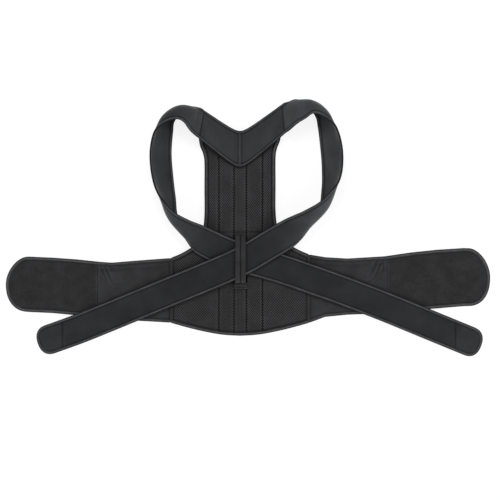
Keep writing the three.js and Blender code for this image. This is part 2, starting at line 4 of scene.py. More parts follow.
import bpy
import numpy as np
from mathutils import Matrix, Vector


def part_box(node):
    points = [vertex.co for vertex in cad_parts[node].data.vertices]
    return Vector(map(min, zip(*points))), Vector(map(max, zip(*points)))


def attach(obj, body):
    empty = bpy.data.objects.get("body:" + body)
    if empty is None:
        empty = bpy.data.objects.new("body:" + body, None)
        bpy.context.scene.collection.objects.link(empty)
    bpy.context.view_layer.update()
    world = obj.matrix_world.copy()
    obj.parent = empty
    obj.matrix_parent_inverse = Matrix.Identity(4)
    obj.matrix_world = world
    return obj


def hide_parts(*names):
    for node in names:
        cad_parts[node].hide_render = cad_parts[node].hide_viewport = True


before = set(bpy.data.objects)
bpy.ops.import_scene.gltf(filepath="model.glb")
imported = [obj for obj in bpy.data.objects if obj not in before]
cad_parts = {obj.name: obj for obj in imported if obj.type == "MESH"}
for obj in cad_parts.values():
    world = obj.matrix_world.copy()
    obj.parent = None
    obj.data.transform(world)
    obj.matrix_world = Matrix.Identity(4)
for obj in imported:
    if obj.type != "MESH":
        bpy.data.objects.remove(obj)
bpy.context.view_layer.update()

# Lengths below are millimetres, with X = 0 at the middle of the panel and Y = 0 at the waist line.
MILLIMETRE = 0.001
SHIFT = np.array([-16.0, -63.5845, 0.0])

# ---- sizes shared with the solids
PANEL_THICKNESS, PANEL_HALF_WIDTH, LUMBAR_HALF_WIDTH = 6.0, 70.5, 140.0
CORNER_UNDERLAP, NOTCH_UNDERLAP, PANEL_DROP = 8.0, 36.0, 151.0
RIGHT_WAIST_TOP, LEFT_WAIST_TOP = 10.0, 3.0
STRAP_WIDTH, TIP_LENGTH, TIP_ROUNDING = 58.0, 52.0, 26.0
YOKE_SAG, YOKE_DEPTH, YOKE_ROUNDING = 20.0, 71.0, 13.0
BELT_HEIGHT, PAD_ROUNDING = 110.0, 42.0
LEFT_WING_LENGTH, RIGHT_WING_LENGTH = 140.0, 149.0
LEFT_PAD_LENGTH, RIGHT_PAD_LENGTH = 188.0, 211.0
PAD_MIDDLE, WING_MIDDLE = 1.75, 1.55
KEEPER_SHIFT, KEEPER_WIDTH = 1.0, 21.0
# Heights of a strap's middle layer on the table, the belt, the panel and the other strap
ON_TABLE, ON_BELT, ON_PANEL, ON_STRAP = 1.8, 5.3, 8.083, 11.383

# ---- sizes of the cloth and its sewing
STRAP_HALF = 1.25
TAPE_WIDTH, TAPE_RAISE = 4.8, 0.4
WING_TAPE, PAD_TAPE, PANEL_TAPE, LOWER_TAPE = 5.0, 5.6, 6.4, 5.2
# Distance of the stitches from a tape's inner edge, and their height over a strap's middle layer
STITCHES_IN, SEWN_LEVEL = 1.4, STRAP_HALF + TAPE_RAISE - 0.05
STITCH_LENGTH, STITCH_PITCH, THREAD_RADIUS, THREAD_SIDES = 2.5, 3.5, 0.24, 5
SIDE_NAME = {1: "right", -1: "left"}
UP = np.array([0.0, 0.0, 1.0])

# The panel's side edge, as shares of the flare to the waist and of the rise to the shoulders,
# and its lower edge, as shares of the half width and of the drop
SIDE_ROWS = [[.18, 1], [.13, .91], [.04, .845], [0, .77], [0, .56], [0, .35], [.06, .21],
             [.2, .126], [.47, .07], [.735, .03], [1, 0]]
LOWER_ROWS = [[0, 1], [.25, .985], [.5, .945], [.75, .89], [1, .825]]
CHANNEL_SEAMS = PANEL_HALF_WIDTH * np.array([-.6, -.17, .18, .64])
CROSS_SEAM = 56.0
# The straps: x and y as shares of their reach and rise, level of the low edge, and yaw, tilt and
# curl in degrees. The loops' second to fourth rows follow the photo more closely than the solids.
RIGHT_LOOP = [
    [.478, .943, 2, -84, 6, 10], [.565, .975, 2, -72, 30, 60], [.66, 1.003, 1.9, -64, 32, 112],
    [.763, 1.004, 1.2, -48, 54, 160], [.875, .952, .4, -18, 56, 165], [.945, .88, .1, -2, 48, 90],
    [.99, .75, 0, 2, 43, 40], [1, .613, 0, 3, 46, 45], [.972, .493, .2, 20, 52, 90],
    [.88, .375, .8, 62, 58, 150], [.718, .266, 2, 100, 40, 115], [.535, .182, 2.7, 116, 16, 45],
    [.326, .103, 3, 119, 0, 0]]
LEFT_LOOP = [
    [.49, .936, 2, -80, 12, 20], [.565, .966, 2, -68, 26, 60], [.66, 1.0, 1.9, -60, 45, 120],
    [.77, .998, 1.2, -48, 54, 160], [.895, .948, .4, -18, 56, 165], [.965, .876, .1, -2, 47, 90],
    [1, .741, 0, 0, 44, 40], [.98, .586, 0, 2, 44, 40], [.925, .448, .2, 12, 50, 80],
    [.828, .322, .8, 50, 60, 140], [.675, .217, 2, 96, 42, 120], [.49, .14, 2.4, 114, 16, 50],
    [.278, .08, 3, 113, 0, 0]]
RIGHT_TAIL = [
    [0, .022, 3, 116, 0, 0], [.198, .23, 3, 113, 0, 0], [.36, .39, 2.1, 112, 0, 0],
    [.5, .53, 1.1, 112, 0, 0], [.66, .69, 1, 112, 0, 0], [.81, .835, 1, 111, 0, 0],
    [1, 1, 0, 109, 0, 0]]
LEFT_TAIL = [
    [0, -.035, 3, 108, 0, 0], [.172, .105, 3, 107, 0, 0], [.31, .238, 2.1, 109, 0, 0],
    [.42, .348, 1.1, 110, 0, 0], [.6, .54, 1, 111, 0, 0], [.8, .77, 1, 112, 0, 0],
    [1, 1, 0, 111, 0, 0]]
# Painted light and shade on the straps: how many times lighter than its plain colour the cloth is
# painted, at places along each strap, near its low edge and near its free edge (under 1 is darker)
RIGHT_PAINTED_LIGHT = [[0, 1.5, 2.1], [1, 1.9, 2.4], [2, 1.9, 2.7], [3, 2.3, 2.3], [4, 1.9, 1.7],
                [5, 2.9, 1.6], [6, 2.1, 1.4], [7, 2, 1.3], [8, 2, 2.2], [9, 2.3, 2.8],
                [10, 2, 1.9], [11, 1.5, 1.2], [12, 1, .95], [13, .8, .8], [16, .9, .95],
                [19, 1.1, 1.15]]
LEFT_PAINTED_LIGHT = [[0, 1.7, 1.9], [1, 1.2, 1.9], [2, 1.2, 2.2], [3, 1.9, 1.5], [4, 1, 1.1],
               [5, 2.5, 1.4], [6, 1.3, 1.1], [7, 1, 1.15], [8, 1.7, 1.9], [9, 1.8, 2.3],
               [10, 1.4, 1.7], [11, 1.1, 1.1], [12, .9, .9], [13, .85, .9], [16, .9, .95],
               [19, 1, 1.05]]
# Where the patch seams cross the straps' ends, along a line of constant X
PATCH_X = {1: -355.0, -1: 431.0}
LUMBAR_CORNER = -PANEL_DROP * LOWER_ROWS[-1][1]
# The belt: share of a piece's length, and its upper and lower edge as shares of the belt's height
LEFT_WING = [[0, LEFT_WAIST_TOP / BELT_HEIGHT, LUMBAR_CORNER / BELT_HEIGHT],
             [.45, -.015, -1.1], [.83, -.055, -1.055], [1, -.04, -1.04]]
RIGHT_WING = [[0, RIGHT_WAIST_TOP / BELT_HEIGHT, LUMBAR_CORNER / BELT_HEIGHT],
              [.2, .045, -1.03], [.5, .02, -.99], [1, .06, -.965]]
LEFT_PAD = [[0, -.04, -1.04], [.25, .005, -1], [.5, .035, -.96], [.75, .055, -.94], [1, .04, -.91]]
RIGHT_PAD = [[0, .06, -.965], [.25, .13, -.91], [.5, .18, -.875], [.75, .21, -.835],
             [1, .2, -.82]]


# ---- numbers along tables and curves
def lerp(a, b, t):
    """Straight way from a to b: a + (b - a) t."""
    return a + (b - a) * t


def smoothstep(low, high, x):
    """0 below low and 1 above high, with the cubic 3t^2 - 2t^3 between them."""
    t = np.clip((x - low) / (high - low), 0, 1)
    return t * t * (3 - 2 * t)


def unit(v):
    """Vectors divided by their own length."""
    return v / np.maximum(np.linalg.norm(v, axis=-1, keepdims=True), 1e-9)


def smooth_rows(rows, place):
    """Values of a table at places between its rows: a Catmull-Rom cubic through the four rows
    round each place, with the first and last row carried on in a straight line."""
    rows, place = np.asarray(rows, float), np.asarray(place, float)
    last = len(rows) - 1
    i = np.clip(np.floor(place).astype(int), 0, last - 1)
    f = (place - i)[..., None]
    p1, p2 = rows[i], rows[i + 1]
    p0 = np.where((i > 0)[..., None], rows[np.maximum(i - 1, 0)], 2 * p1 - p2)
    p3 = np.where((i + 1 < last)[..., None], rows[np.minimum(i + 2, last)], 2 * p2 - p1)
    return (2 * p1 + (p2 - p0) * f + (2 * p0 - 5 * p1 + 4 * p2 - p3) * f**2
            + (3 * p1 - p0 - 3 * p2 + p3) * f**3) / 2


def walk(points):
    """Distance walked along a line of points, from 0 at its first one."""
    steps = np.linalg.norm(np.diff(points, axis=0), axis=1)
    return np.concatenate([[0], np.cumsum(steps)])


def picked(way, values, where):
    """Values of a line's points between them, at distances walked along it."""
    return np.stack([np.interp(where, way, column) for column in values.T], 1)


def respaced(points, count):
    """The same line with count points at even distances along it."""
    way = walk(points)
    return picked(way, points, np.linspace(0, way[-1], count))


def hump(x, middle, width):
    """Bell curve e^-((x - middle) / width)^2, which is 1 at its middle."""
    return np.exp(-((x - middle) / width) ** 2)


def unevenness(u, v, seed, octaves=((1, 1.0), (2.3, 0.45))):
    """Smooth unevenness of about -1 to 1: random lattice values eased between their corners by
    3t^2 - 2t^3, in two layers of which the finer one is weaker."""
    total = np.zeros(np.broadcast(u, v).shape)
    for k, (scale, weight) in enumerate(octaves):
        lattice = np.random.RandomState(seed + 97 * k).uniform(-1, 1, (64, 64))
        a, b = u * scale, v * scale
        i, j = np.floor(a).astype(int), np.floor(b).astype(int)
        s, t = smoothstep(0, 1, a - i), smoothstep(0, 1, b - j)
        at = lambda p, q: lattice[(i + p) % 64, (j + q) % 64]
        total = total + weight * lerp(lerp(at(0, 0), at(1, 0), s), lerp(at(0, 1), at(1, 1), s), t)
    return total


# ---- meshes from grids of points
def add_mesh(name, points, faces, cloth, material, smooth=50, tone=1.0):
    """One object from points in millimetres, arrays of faces, and for each point its place on the
    flat cloth in millimetres, kept as the UV map in metres, and its tone: under 1 where painted
    shade or a painted shadow darkens the cloth and over 1 where painted light brightens it, with a
    little uneven tone of its own."""
    mesh = bpy.data.meshes.new(name)
    mesh.from_pydata(((points + SHIFT) * MILLIMETRE).tolist(), [],
                     [face for part in faces for face in part.tolist()])
    corners = np.concatenate([part.ravel() for part in faces])
    layer = mesh.uv_layers.new(name="cloth")
    layer.data.foreach_set("uv", (cloth[corners] * MILLIMETRE).astype(np.float32).ravel())
    # The tone attribute holds the painted light and shade
    painted_light_and_tone = mesh.attributes.new("tone", "FLOAT", "POINT")
    painted_light_and_tone.data.foreach_set("value", np.broadcast_to(tone, len(points)).astype(np.float32))
    mesh.validate()
    mesh.shade_smooth()
    mesh.set_sharp_from_angle(angle=np.radians(smooth))
    mesh.materials.append(material)
    piece = bpy.data.objects.new(name, mesh)
    bpy.context.scene.collection.objects.link(piece)
    return piece


def outward(points, quads):
    """The same faces, all turned round if the closed shape they make is inside out: the sum of
    the signed volumes under the faces is negative then."""
    a, b, c, d = (points[quads[:, k]] for k in range(4))
    volume = (a * np.cross(b, c)).sum() + (a * np.cross(c, d)).sum()
    return quads if volume > 0 else quads[:, ::-1]


def shell(name, slot, node, upper, lower, cloth, tone=1.0, smooth=50):
    """Closed cloth between an upper and a lower grid of points: the two grids' cells and a strip
    of cells round the rim. It is dressed if it stands for a node."""
    count, columns = upper[..., 0].size, upper.shape[1]
    index = np.arange(count).reshape(-1, columns)
    cell = index[:-1, :-1].ravel()
    top = np.stack([cell, cell + columns, cell + columns + 1, cell + 1], 1)
    rim = np.concatenate([index[:-1, 0], index[-1, :-1], index[:0:-1, -1], index[0, :0:-1]])
    after = np.roll(rim, -1)
    band = np.stack([after, after + count, rim + count, rim], 1)
    points = np.concatenate([upper.reshape(-1, 3), lower.reshape(-1, 3)])
    quads = outward(points, np.concatenate([top, top[:, ::-1] + count, band]))
    tone = np.tile(np.broadcast_to(tone, index.shape).ravel(), 2)
    piece = add_mesh(name, points, [quads], np.tile(cloth.reshape(-1, 2), (2, 1)), FINISH[slot],
                     smooth, tone)
    return dress(piece, slot, node) if node else piece


def laid_shell(name, slot, node, x, y, top, bottom, tone=1.0, smooth=50):
    """Closed cloth that lies flat: its points lie straight over one another, at their place on
    the flat cloth."""
    upper, lower = (np.stack([x, y, z + 0 * x], 2) for z in (top, bottom))
    return shell(name, slot, node, upper, lower, upper[..., :2], tone, smooth)


def normals_of(grid, row, column):
    """Unit normals of a grid of points, the cross product of its two directions, turned so that
    the one at the given row and column points up."""
    ups = unit(np.cross(np.gradient(grid, axis=0), np.gradient(grid, axis=1)))
    return ups * np.sign(ups[row, column, 2])


def tubes(rings):
    """Points and faces of closed tubes from their rings of points, each tube capped by triangles
    round the middle of its first and its last ring."""
    count, stations, sides = rings.shape[:3]
    points = np.concatenate([rings.reshape(-1, 3), rings[:, 0].mean(1), rings[:, -1].mean(1)])
    first = np.arange(count)[:, None, None] * stations * sides
    j = np.arange(sides)
    after = (j + 1) % sides
    a, b = (first + np.arange(stations - 1)[:, None] * sides + k for k in (j, after))
    quads = np.stack([a, b, b + sides, a + sides], -1).reshape(-1, 4)
    start, hub = first[:, 0], rings[..., 0].size + np.arange(count)[:, None] + 0 * j
    end = start + (stations - 1) * sides
    caps = np.concatenate([np.stack([start + j, hub, start + after], -1).reshape(-1, 3),
                           np.stack([end + j, end + after, hub + count], -1).reshape(-1, 3)])
    turned = outward(points, quads)
    return points, [turned, caps if turned is quads else caps[:, ::-1]]


# ---- finishes
def set_inputs(node, values):
    """Values of a node's inputs, by their name or number."""
    for key, value in values.items():
        node.inputs[key].default_value = value


class Finish:
    """A procedural cloth, worked out from the piece's own UV map, which is in metres."""

    def __init__(self, name, dark, light, roughness, sheen=0.0, sheen_roughness=0.5):
        self.material = bpy.data.materials.new(name)
        self.material.use_nodes = True
        self.tree = self.material.node_tree
        self.shader = self.tree.nodes["Principled BSDF"]
        set_inputs(self.shader, {"Sheen Weight": sheen, "Sheen Roughness": sheen_roughness,
                                 "Specular IOR Level": 0.14})
        self.dark, self.light, self.roughness = dark, light, roughness
        self.uv = self.node("ShaderNodeUVMap", uv_map="cloth").outputs[0]

    def node(self, kind, inputs=None, **settings):
        """New node with its settings, and with its inputs linked to a socket or set."""
        made = self.tree.nodes.new(kind)
        for key, value in settings.items():
            setattr(made, key, value)
        for key, value in (inputs or {}).items():
            if isinstance(value, bpy.types.NodeSocket):
                self.link(value, made.inputs[key])
            else:
                made.inputs[key].default_value = value
        return made

    def link(self, source, target):
        self.tree.links.new(source, target)

    def math(self, operation, a, b=0.0):
        return self.node("ShaderNodeMath", {0: a, 1: b}, operation=operation).outputs[0]

    def ramp(self, value, low, high, bottom=0.0, top=1.0):
        """Value mapped smoothly from low..high to bottom..top."""
        return self.node("ShaderNodeMapRange", {0: value, 1: low, 2: high, 3: bottom, 4: top},
                         interpolation_type="SMOOTHSTEP").outputs[0]

    def noise(self, scale, detail=2.0, roughness=0.5):
        """Cloudy noise with about so many lumps to the metre."""
        return self.node("ShaderNodeTexNoise", {"Vector": self.uv, "Scale": scale,
                                                "Detail": detail, "Roughness": roughness}
                         ).outputs[0]

    def wave(self, axis, pitch, shift=None):
        """A cosine along one direction of the cloth, repeating every pitch metres."""
        parts = self.node("ShaderNodeSeparateXYZ", {0: self.uv})
        value = self.math("MULTIPLY", parts.outputs[axis], 2 * np.pi / pitch)
        if shift is not None:
            value = self.math("ADD", value, shift)
        return self.math("COSINE", value)

    def lattice(self, pitch, row_pitch):
        """The product of the cosines along and across the cloth."""
        return self.math("MULTIPLY", self.wave(0, pitch), self.wave(1, row_pitch))

    def loops(self, pitch, randomness=0.8):
        """Distance to the nearest of many scattered points, for the loops of a pile."""
        return self.node("ShaderNodeTexVoronoi", {"Vector": self.uv, "Scale": 1 / pitch,
                                                  "Randomness": randomness}).outputs[0]

    def done(self, pattern, depth, nap, nap_depth, shade):
        """pattern is 1 on the yarn and 0 in the holes, nap its fine fuzz, shade the slow changes
        of colour. They set the colour, the roughness and two layers of bump."""
        tone = self.math("MULTIPLY", pattern, self.ramp(nap, 0.25, 0.75, 0.72, 1.0))
        colour = self.node("ShaderNodeMix", {0: tone, 6: (*self.dark, 1.0),
                                             7: (*self.light, 1.0)}, data_type="RGBA")
        # The tone attribute carries each piece's painted light and shade, and a little uneven tone
        # of its own, into its colour
        painted_light_and_tone = self.node("ShaderNodeAttribute", attribute_name="tone").outputs["Fac"]
        value = self.math("MULTIPLY", painted_light_and_tone, self.ramp(shade, 0.3, 0.7, 0.84, 1.16))
        faded = self.node("ShaderNodeHueSaturation", {"Color": colour.outputs[2], "Value": value})
        self.link(faded.outputs[0], self.shader.inputs["Base Color"])
        self.link(self.ramp(nap, 0.2, 0.8, self.roughness - 0.1, min(self.roughness + 0.08, 1)),
                  self.shader.inputs["Roughness"])
        fine = self.node("ShaderNodeBump", {"Height": nap, "Distance": nap_depth,
                                            "Strength": 0.7})
        relief = self.node("ShaderNodeBump", {"Height": pattern, "Distance": depth,
                                              "Strength": 0.9, "Normal": fine.outputs[0]})
        self.link(relief.outputs[0], self.shader.inputs["Normal"])
        return self.material


def spacer_mesh():
    """Padded net: staggered diamond holes, the product of two cosines, over darker padding."""
    f = Finish("spacer_mesh", (0.007, 0.007, 0.0075), (0.041, 0.041, 0.0436), 0.85, 0.06)
    yarn = f.ramp(f.lattice(0.0050, 0.0054), -0.15, 0.35, 1.0, 0.0)
    return f.done(yarn, 0.0008, f.noise(2600), 0.00012, f.noise(22, 3))


def brushed_fabric():
    """Smooth knit: very fine slanting wales under a soft nap."""
    f = Finish("brushed_fabric", (0.008, 0.0082, 0.009), (0.0215, 0.0222, 0.0242), 0.82, 0.5, 0.35)
    yarn = f.ramp(f.lattice(0.0009, 0.0012), -0.9, 0.9, 0.45, 1.0)
    return f.done(yarn, 0.00012, f.noise(1500, 3, 0.6), 0.0002, f.noise(16, 3))


def fastening_fabric():
    """The knit of the strap ends, pressed flatter by the patch sewn under it."""
    f = Finish("fastening_fabric", (0.009, 0.0092, 0.0099), (0.029, 0.0298, 0.032), 0.86, 0.45, 0.4)
    yarn = f.ramp(f.loops(0.0011), 0.1, 0.7, 1.0, 0.5)
    return f.done(yarn, 0.00015, f.noise(1300, 3, 0.6), 0.0002, f.noise(28, 3))


def elastic_mesh():
    """Stretch net of the wings: fine upright ribs crossed by small holes."""
    f = Finish("elastic_mesh", (0.003, 0.003, 0.0032), (0.0325, 0.033, 0.035), 0.85, 0.12)
    yarn = f.ramp(f.lattice(0.0016, 0.0022), 0.0, 0.8, 1.0, 0.25)
    return f.done(yarn, 0.00035, f.noise(1800, 3), 0.00015, f.noise(34, 3))


def loop_fabric():
    """Napped pile of the belt ends: scattered loops, brushed one way here and another there."""
    f = Finish("loop_fabric", (0.005, 0.005, 0.0054), (0.0255, 0.0259, 0.0279), 0.9, 0.25, 0.5)
    yarn = f.ramp(f.loops(0.0013, 1.0), 0.05, 0.75, 1.0, 0.35)
    return f.done(yarn, 0.00035, f.noise(1100, 3, 0.65), 0.00035, f.noise(48, 4, 0.6))


def binding_tape():
    """Ribbed tape: fine ribs across its length."""
    f = Finish("binding_tape", (0.016, 0.0162, 0.0174), (0.058, 0.059, 0.0628), 0.7, 0.1, 0.35)
    yarn = f.ramp(f.wave(0, 0.0009), -0.8, 0.8, 0.35, 1.0)
    return f.done(yarn, 0.00016, f.noise(1400, 2), 0.0001, f.noise(40, 2))


def webbing():
    """Woven strap of the keeper: a plain weave of thick yarns."""
    f = Finish("webbing", (0.006, 0.006, 0.0065), (0.035, 0.0354, 0.038), 0.75, 0.2, 0.4)
    yarn = f.ramp(f.lattice(0.0022, 0.0022), -0.7, 0.7, 0.3, 1.0)
    return f.done(yarn, 0.0003, f.noise(1500, 2), 0.0001, f.noise(40, 2))


def sewing_thread():
    """Twisted polyester thread: slanting bands of its plies."""
    f = Finish("sewing_thread", (0.002, 0.002, 0.0022), (0.012, 0.0122, 0.0132), 0.5)
    yarn = f.ramp(f.wave(0, 0.0006, f.wave(1, 0.0009)), -0.8, 0.8, 0.3, 1.0)
    return f.done(yarn, 0.0001, f.noise(2500, 1), 0.00005, f.noise(60, 2))


FINISH = {make.__name__: make() for make in (
    spacer_mesh, brushed_fabric, fastening_fabric, elastic_mesh, loop_fabric, binding_tape,
    webbing, sewing_thread)}


def dress(piece, slot, *nodes):
    """The piece goes with the whole and stands for the nodes; the slot is not used."""
    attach(piece, "root")
    if nodes:
        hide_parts(*nodes)
    return piece


# ---- tapes and stitches
def folded_tape(half, width=TAPE_WIDTH, raise_=TAPE_RAISE):
    """Section of a tape folded over an edge of cloth: its two legs swell a little between the
    edge and the stitch line, dip at the stitches, and close round the edge in a half circle."""
    d = np.linspace(width, 0.6, 12)
    swell = 0.28 * np.sin(np.pi * np.clip((d - 0.2) / (width - 1.5), 0, 1))
    top = half + raise_ + swell - 0.22 * hump(d, width - STITCHES_IN, 0.45)
    top[0] = half + 0.06
    turn = np.linspace(0, np.pi, 7)[1:-1]
    nose = np.stack([0.6 - 1.35 * np.sin(turn), (half + raise_) * np.cos(turn)], 1)
    upper = np.stack([d, top], 1)
    inner = np.array([[width, -half], [0.3, -half], [-0.3, -half * 0.5], [-0.3, half * 0.5],
                      [0.3, half], [width, half]])
    return np.concatenate([upper, nose, upper[::-1] * [1, -1], inner])


def edge_tape(name, at, profile, tone=None, nodes=()):
    """Tape along an edge: each point of the profile is an inward distance and a height, and at()
    gives the whole line at that distance with its normals. Its outer edge and its hem are darkened
    by painted shade, and the core between them is lightened by a painted highlight."""
    profile = np.asarray(profile)
    inward, count = profile[:, 0], len(profile)
    grid = np.stack([lifted(at(distance), height)[0] for distance, height in profile], 1)
    points, faces = tubes(grid[None])
    along = walk(at(0)[0])
    cloth = np.stack([np.repeat(along, count), np.tile(walk(profile), len(along))], 1)
    cloth = np.concatenate([cloth, [[along[0], 0], [along[-1], 0]]])
    # Default tone: painted shade on the outer edge and along the hem, and a painted highlight on
    # the core between them
    if tone is None:
        hem = inward.max()
        tone = 0.12 + 1.4 * smoothstep(0.4, 2, inward) * smoothstep(hem + 0.1, hem - 1.4, inward)
    tone = np.append(np.tile(tone + 0 * inward, len(along)), [1, 1])
    piece = add_mesh(name, points, faces, cloth, FINISH["binding_tape"], 60, tone)
    return dress(piece, "binding_tape", *nodes)


def lifted(line, height):
    """A line, which is a pair of points and normals, raised along its normals."""
    points, normals = line
    return points + normals * height, normals


def upright(x, y, z):
    """A line with +Z normals, from coordinates of which any may be one number."""
    points = np.stack(np.broadcast_arrays(x, y, z), -1)
    return points, np.broadcast_to(UP, points.shape)


def stitches(name, lines, slot="binding_tape"):
    """Running stitches along lines: a short thread whose middle rises over the cloth by a
    parabola and whose round section narrows to its ends."""
    middles, tangents, ups = [], [], []
    for points, normals in lines:
        way = walk(points)
        count = max(int(way[-1] / STITCH_PITCH), 1)
        at = (np.arange(count) + 0.5) * way[-1] / count
        middles.append(picked(way, points, at))
        tangents.append(unit(picked(way, points, at + 0.5) - picked(way, points, at - 0.5)))
        ups.append(unit(picked(way, normals, at)))
    middle, tangent, up = (np.concatenate(v)[:, None, None] for v in (middles, tangents, ups))
    stops = np.array([-0.98, -0.6, 0.0, 0.6, 0.98])[:, None, None]
    turn = np.linspace(0, 2 * np.pi, THREAD_SIDES, endpoint=False)[:, None]
    rise = THREAD_RADIUS * (1.1 * (1 - stops**2) - 0.35)
    width = THREAD_RADIUS * np.sqrt(np.maximum(1 - stops**4, 0.05))
    points, faces = tubes(middle + tangent * (stops * STITCH_LENGTH / 2)
                          + up * (rise + width * np.sin(turn))
                          + np.cross(up, tangent) * (width * np.cos(turn)))
    return dress(add_mesh(name, points, faces, points[:, :2], FINISH["sewing_thread"], 80), slot)


# ---- the straps' surface
ACROSS = np.linspace(-0.5, 0.5, 33)
MIDDLE = len(ACROSS) // 2


def strap_rows(loop, tail, reach, rise, tail_reach, tail_drop, crossing):
    """A strap's rows in millimetres, from shares of its sizes and levels of its heights."""
    rows = np.array(loop + tail, float)
    rows[:, 2] = np.interp(rows[:, 2], [0, 1, 2, 3], [ON_TABLE, ON_BELT, ON_PANEL, crossing])
    rows[:len(loop), :2] *= [reach, rise]
    rows[len(loop):, :2] *= [-tail_reach, -tail_drop]
    return rows


def strap_surface(rows, place, across):
    """Middle layer of a strap: at each place along it the section is an arc as long as the
    strap is wide, rolled by the row's curl, with a chord that leans up by its tilt and points
    along its yaw; across runs from -0.5 at the low edge to 0.5 at the free edge."""
    last = len(rows) - 1
    x, y, low, yaw, tilt, curl = smooth_rows(rows, place).T
    yaw, tilt, curl = (np.radians(v) for v in (yaw, np.maximum(tilt, 0), np.maximum(curl, 1)))
    travel = (smooth_rows(rows, np.minimum(place + 0.01, last))
              - smooth_rows(rows, np.maximum(place - 0.01, 0)))[:, :3]
    chord = np.stack([np.cos(tilt) * np.cos(yaw), np.cos(tilt) * np.sin(yaw), np.sin(tilt)], 1)
    bulge = unit(np.cross(chord, travel))
    radius = STRAP_WIDTH / curl
    reach = 2 * radius * np.sin(curl / 2)
    centre = np.stack([x, y, low + reach / 2 * np.sin(tilt)], 1)
    angle = curl[:, None] * across[None]
    rise = radius[:, None] * (np.cos(angle) - np.cos(curl / 2)[:, None])
    return (centre[:, None] + chord[:, None] * (radius[:, None] * np.sin(angle))[..., None]
            + bulge[:, None] * rise[..., None])


def strap_point(rows, across):
    """Point of a strap's first section, at a share across it."""
    return strap_surface(rows, np.array([0.0]), np.array([across]))[0, 0]


def mirrored(points, side):
    """The points as they are for side 1, and with X negated for side -1."""
    return points * [side, 1, 1]


RIGHT_ROWS = strap_rows(RIGHT_LOOP, RIGHT_TAIL, 184, 300, 404, 167, ON_STRAP)
LEFT_ROWS = strap_rows(LEFT_LOOP, LEFT_TAIL, 158, 290, 482, 172, ON_PANEL)


def edge_of(grid, normals, column):
    """at(distance) for an edge column of a grid: the points that lie that far in from the edge,
    measured over the cloth, and their normals. A distance under 0 goes on outwards."""
    order = slice(None) if column == 0 else slice(None, None, -1)
    points, ups = grid[:, order], normals[:, order]
    steps = np.linalg.norm(np.diff(points, axis=1), axis=2)
    way = np.concatenate([np.zeros((len(points), 1)), np.cumsum(steps, 1)], 1)
    station = np.arange(len(points))

    def at(distance):
        i = np.clip((way <= distance).sum(1) - 1, 0, points.shape[1] - 2)
        f = ((distance - way[station, i]) / (way[station, i + 1] - way[station, i]))[:, None]
        place = lerp(points[station, i], points[station, i + 1], f)
        up = lerp(ups[station, i], ups[station, i + 1], np.clip(f, 0, 1))
        return place, unit(up)
    return at


def plan_edge(line, height, inward_side):
    """at(distance) for a flat outline: its points moved inwards square to it, and +Z normals."""
    tangent = unit(np.gradient(line, axis=0))
    inward = np.stack([-tangent[:, 1], tangent[:, 0]], 1) * inward_side
    return lambda distance: upright(*(line + inward * distance).T, height)


def strap_painted_shadow(x, y, straps=((1, RIGHT_ROWS), (-1, LEFT_ROWS))):
    """Painted shadow of the straps on the cloth under them: darker in a narrow line beside the edge
    of a strap, half a width away from the strap's middle line."""
    tone = 1.0
    for side, rows in straps:
        stops = np.linspace(len(RIGHT_LOOP) - 2, len(rows) - 1, 150)
        line = mirrored(strap_surface(rows, stops, np.zeros(1))[:, 0], side)
        away = np.full(x.shape, 1e9)
        for px, py, _ in line:
            away = np.minimum(away, (x - px) ** 2 + (y - py) ** 2)
        tone = tone * (1 - 0.5 * hump(np.sqrt(away), STRAP_WIDTH / 2 + 0.8, 2.0))
    return tone


def keeper_painted_shadow(x, y):
    """Painted shadow of the keeper: darker along both its sides, over its length."""
    beside = hump(np.abs(x - KEEPER_SHIFT), KEEPER_WIDTH / 2 + 1.2, 1.7)
    return 1 - 0.6 * beside * smoothstep(-50, -40, y) * smoothstep(52, 44, y)


def patch_seam(side, x, on_the_end):
    """Painted shade along the seam across a strap's end: darker along a line of constant X."""
    return 1 - 0.65 * hump(x, PATCH_X[side], 1.7) * on_the_end


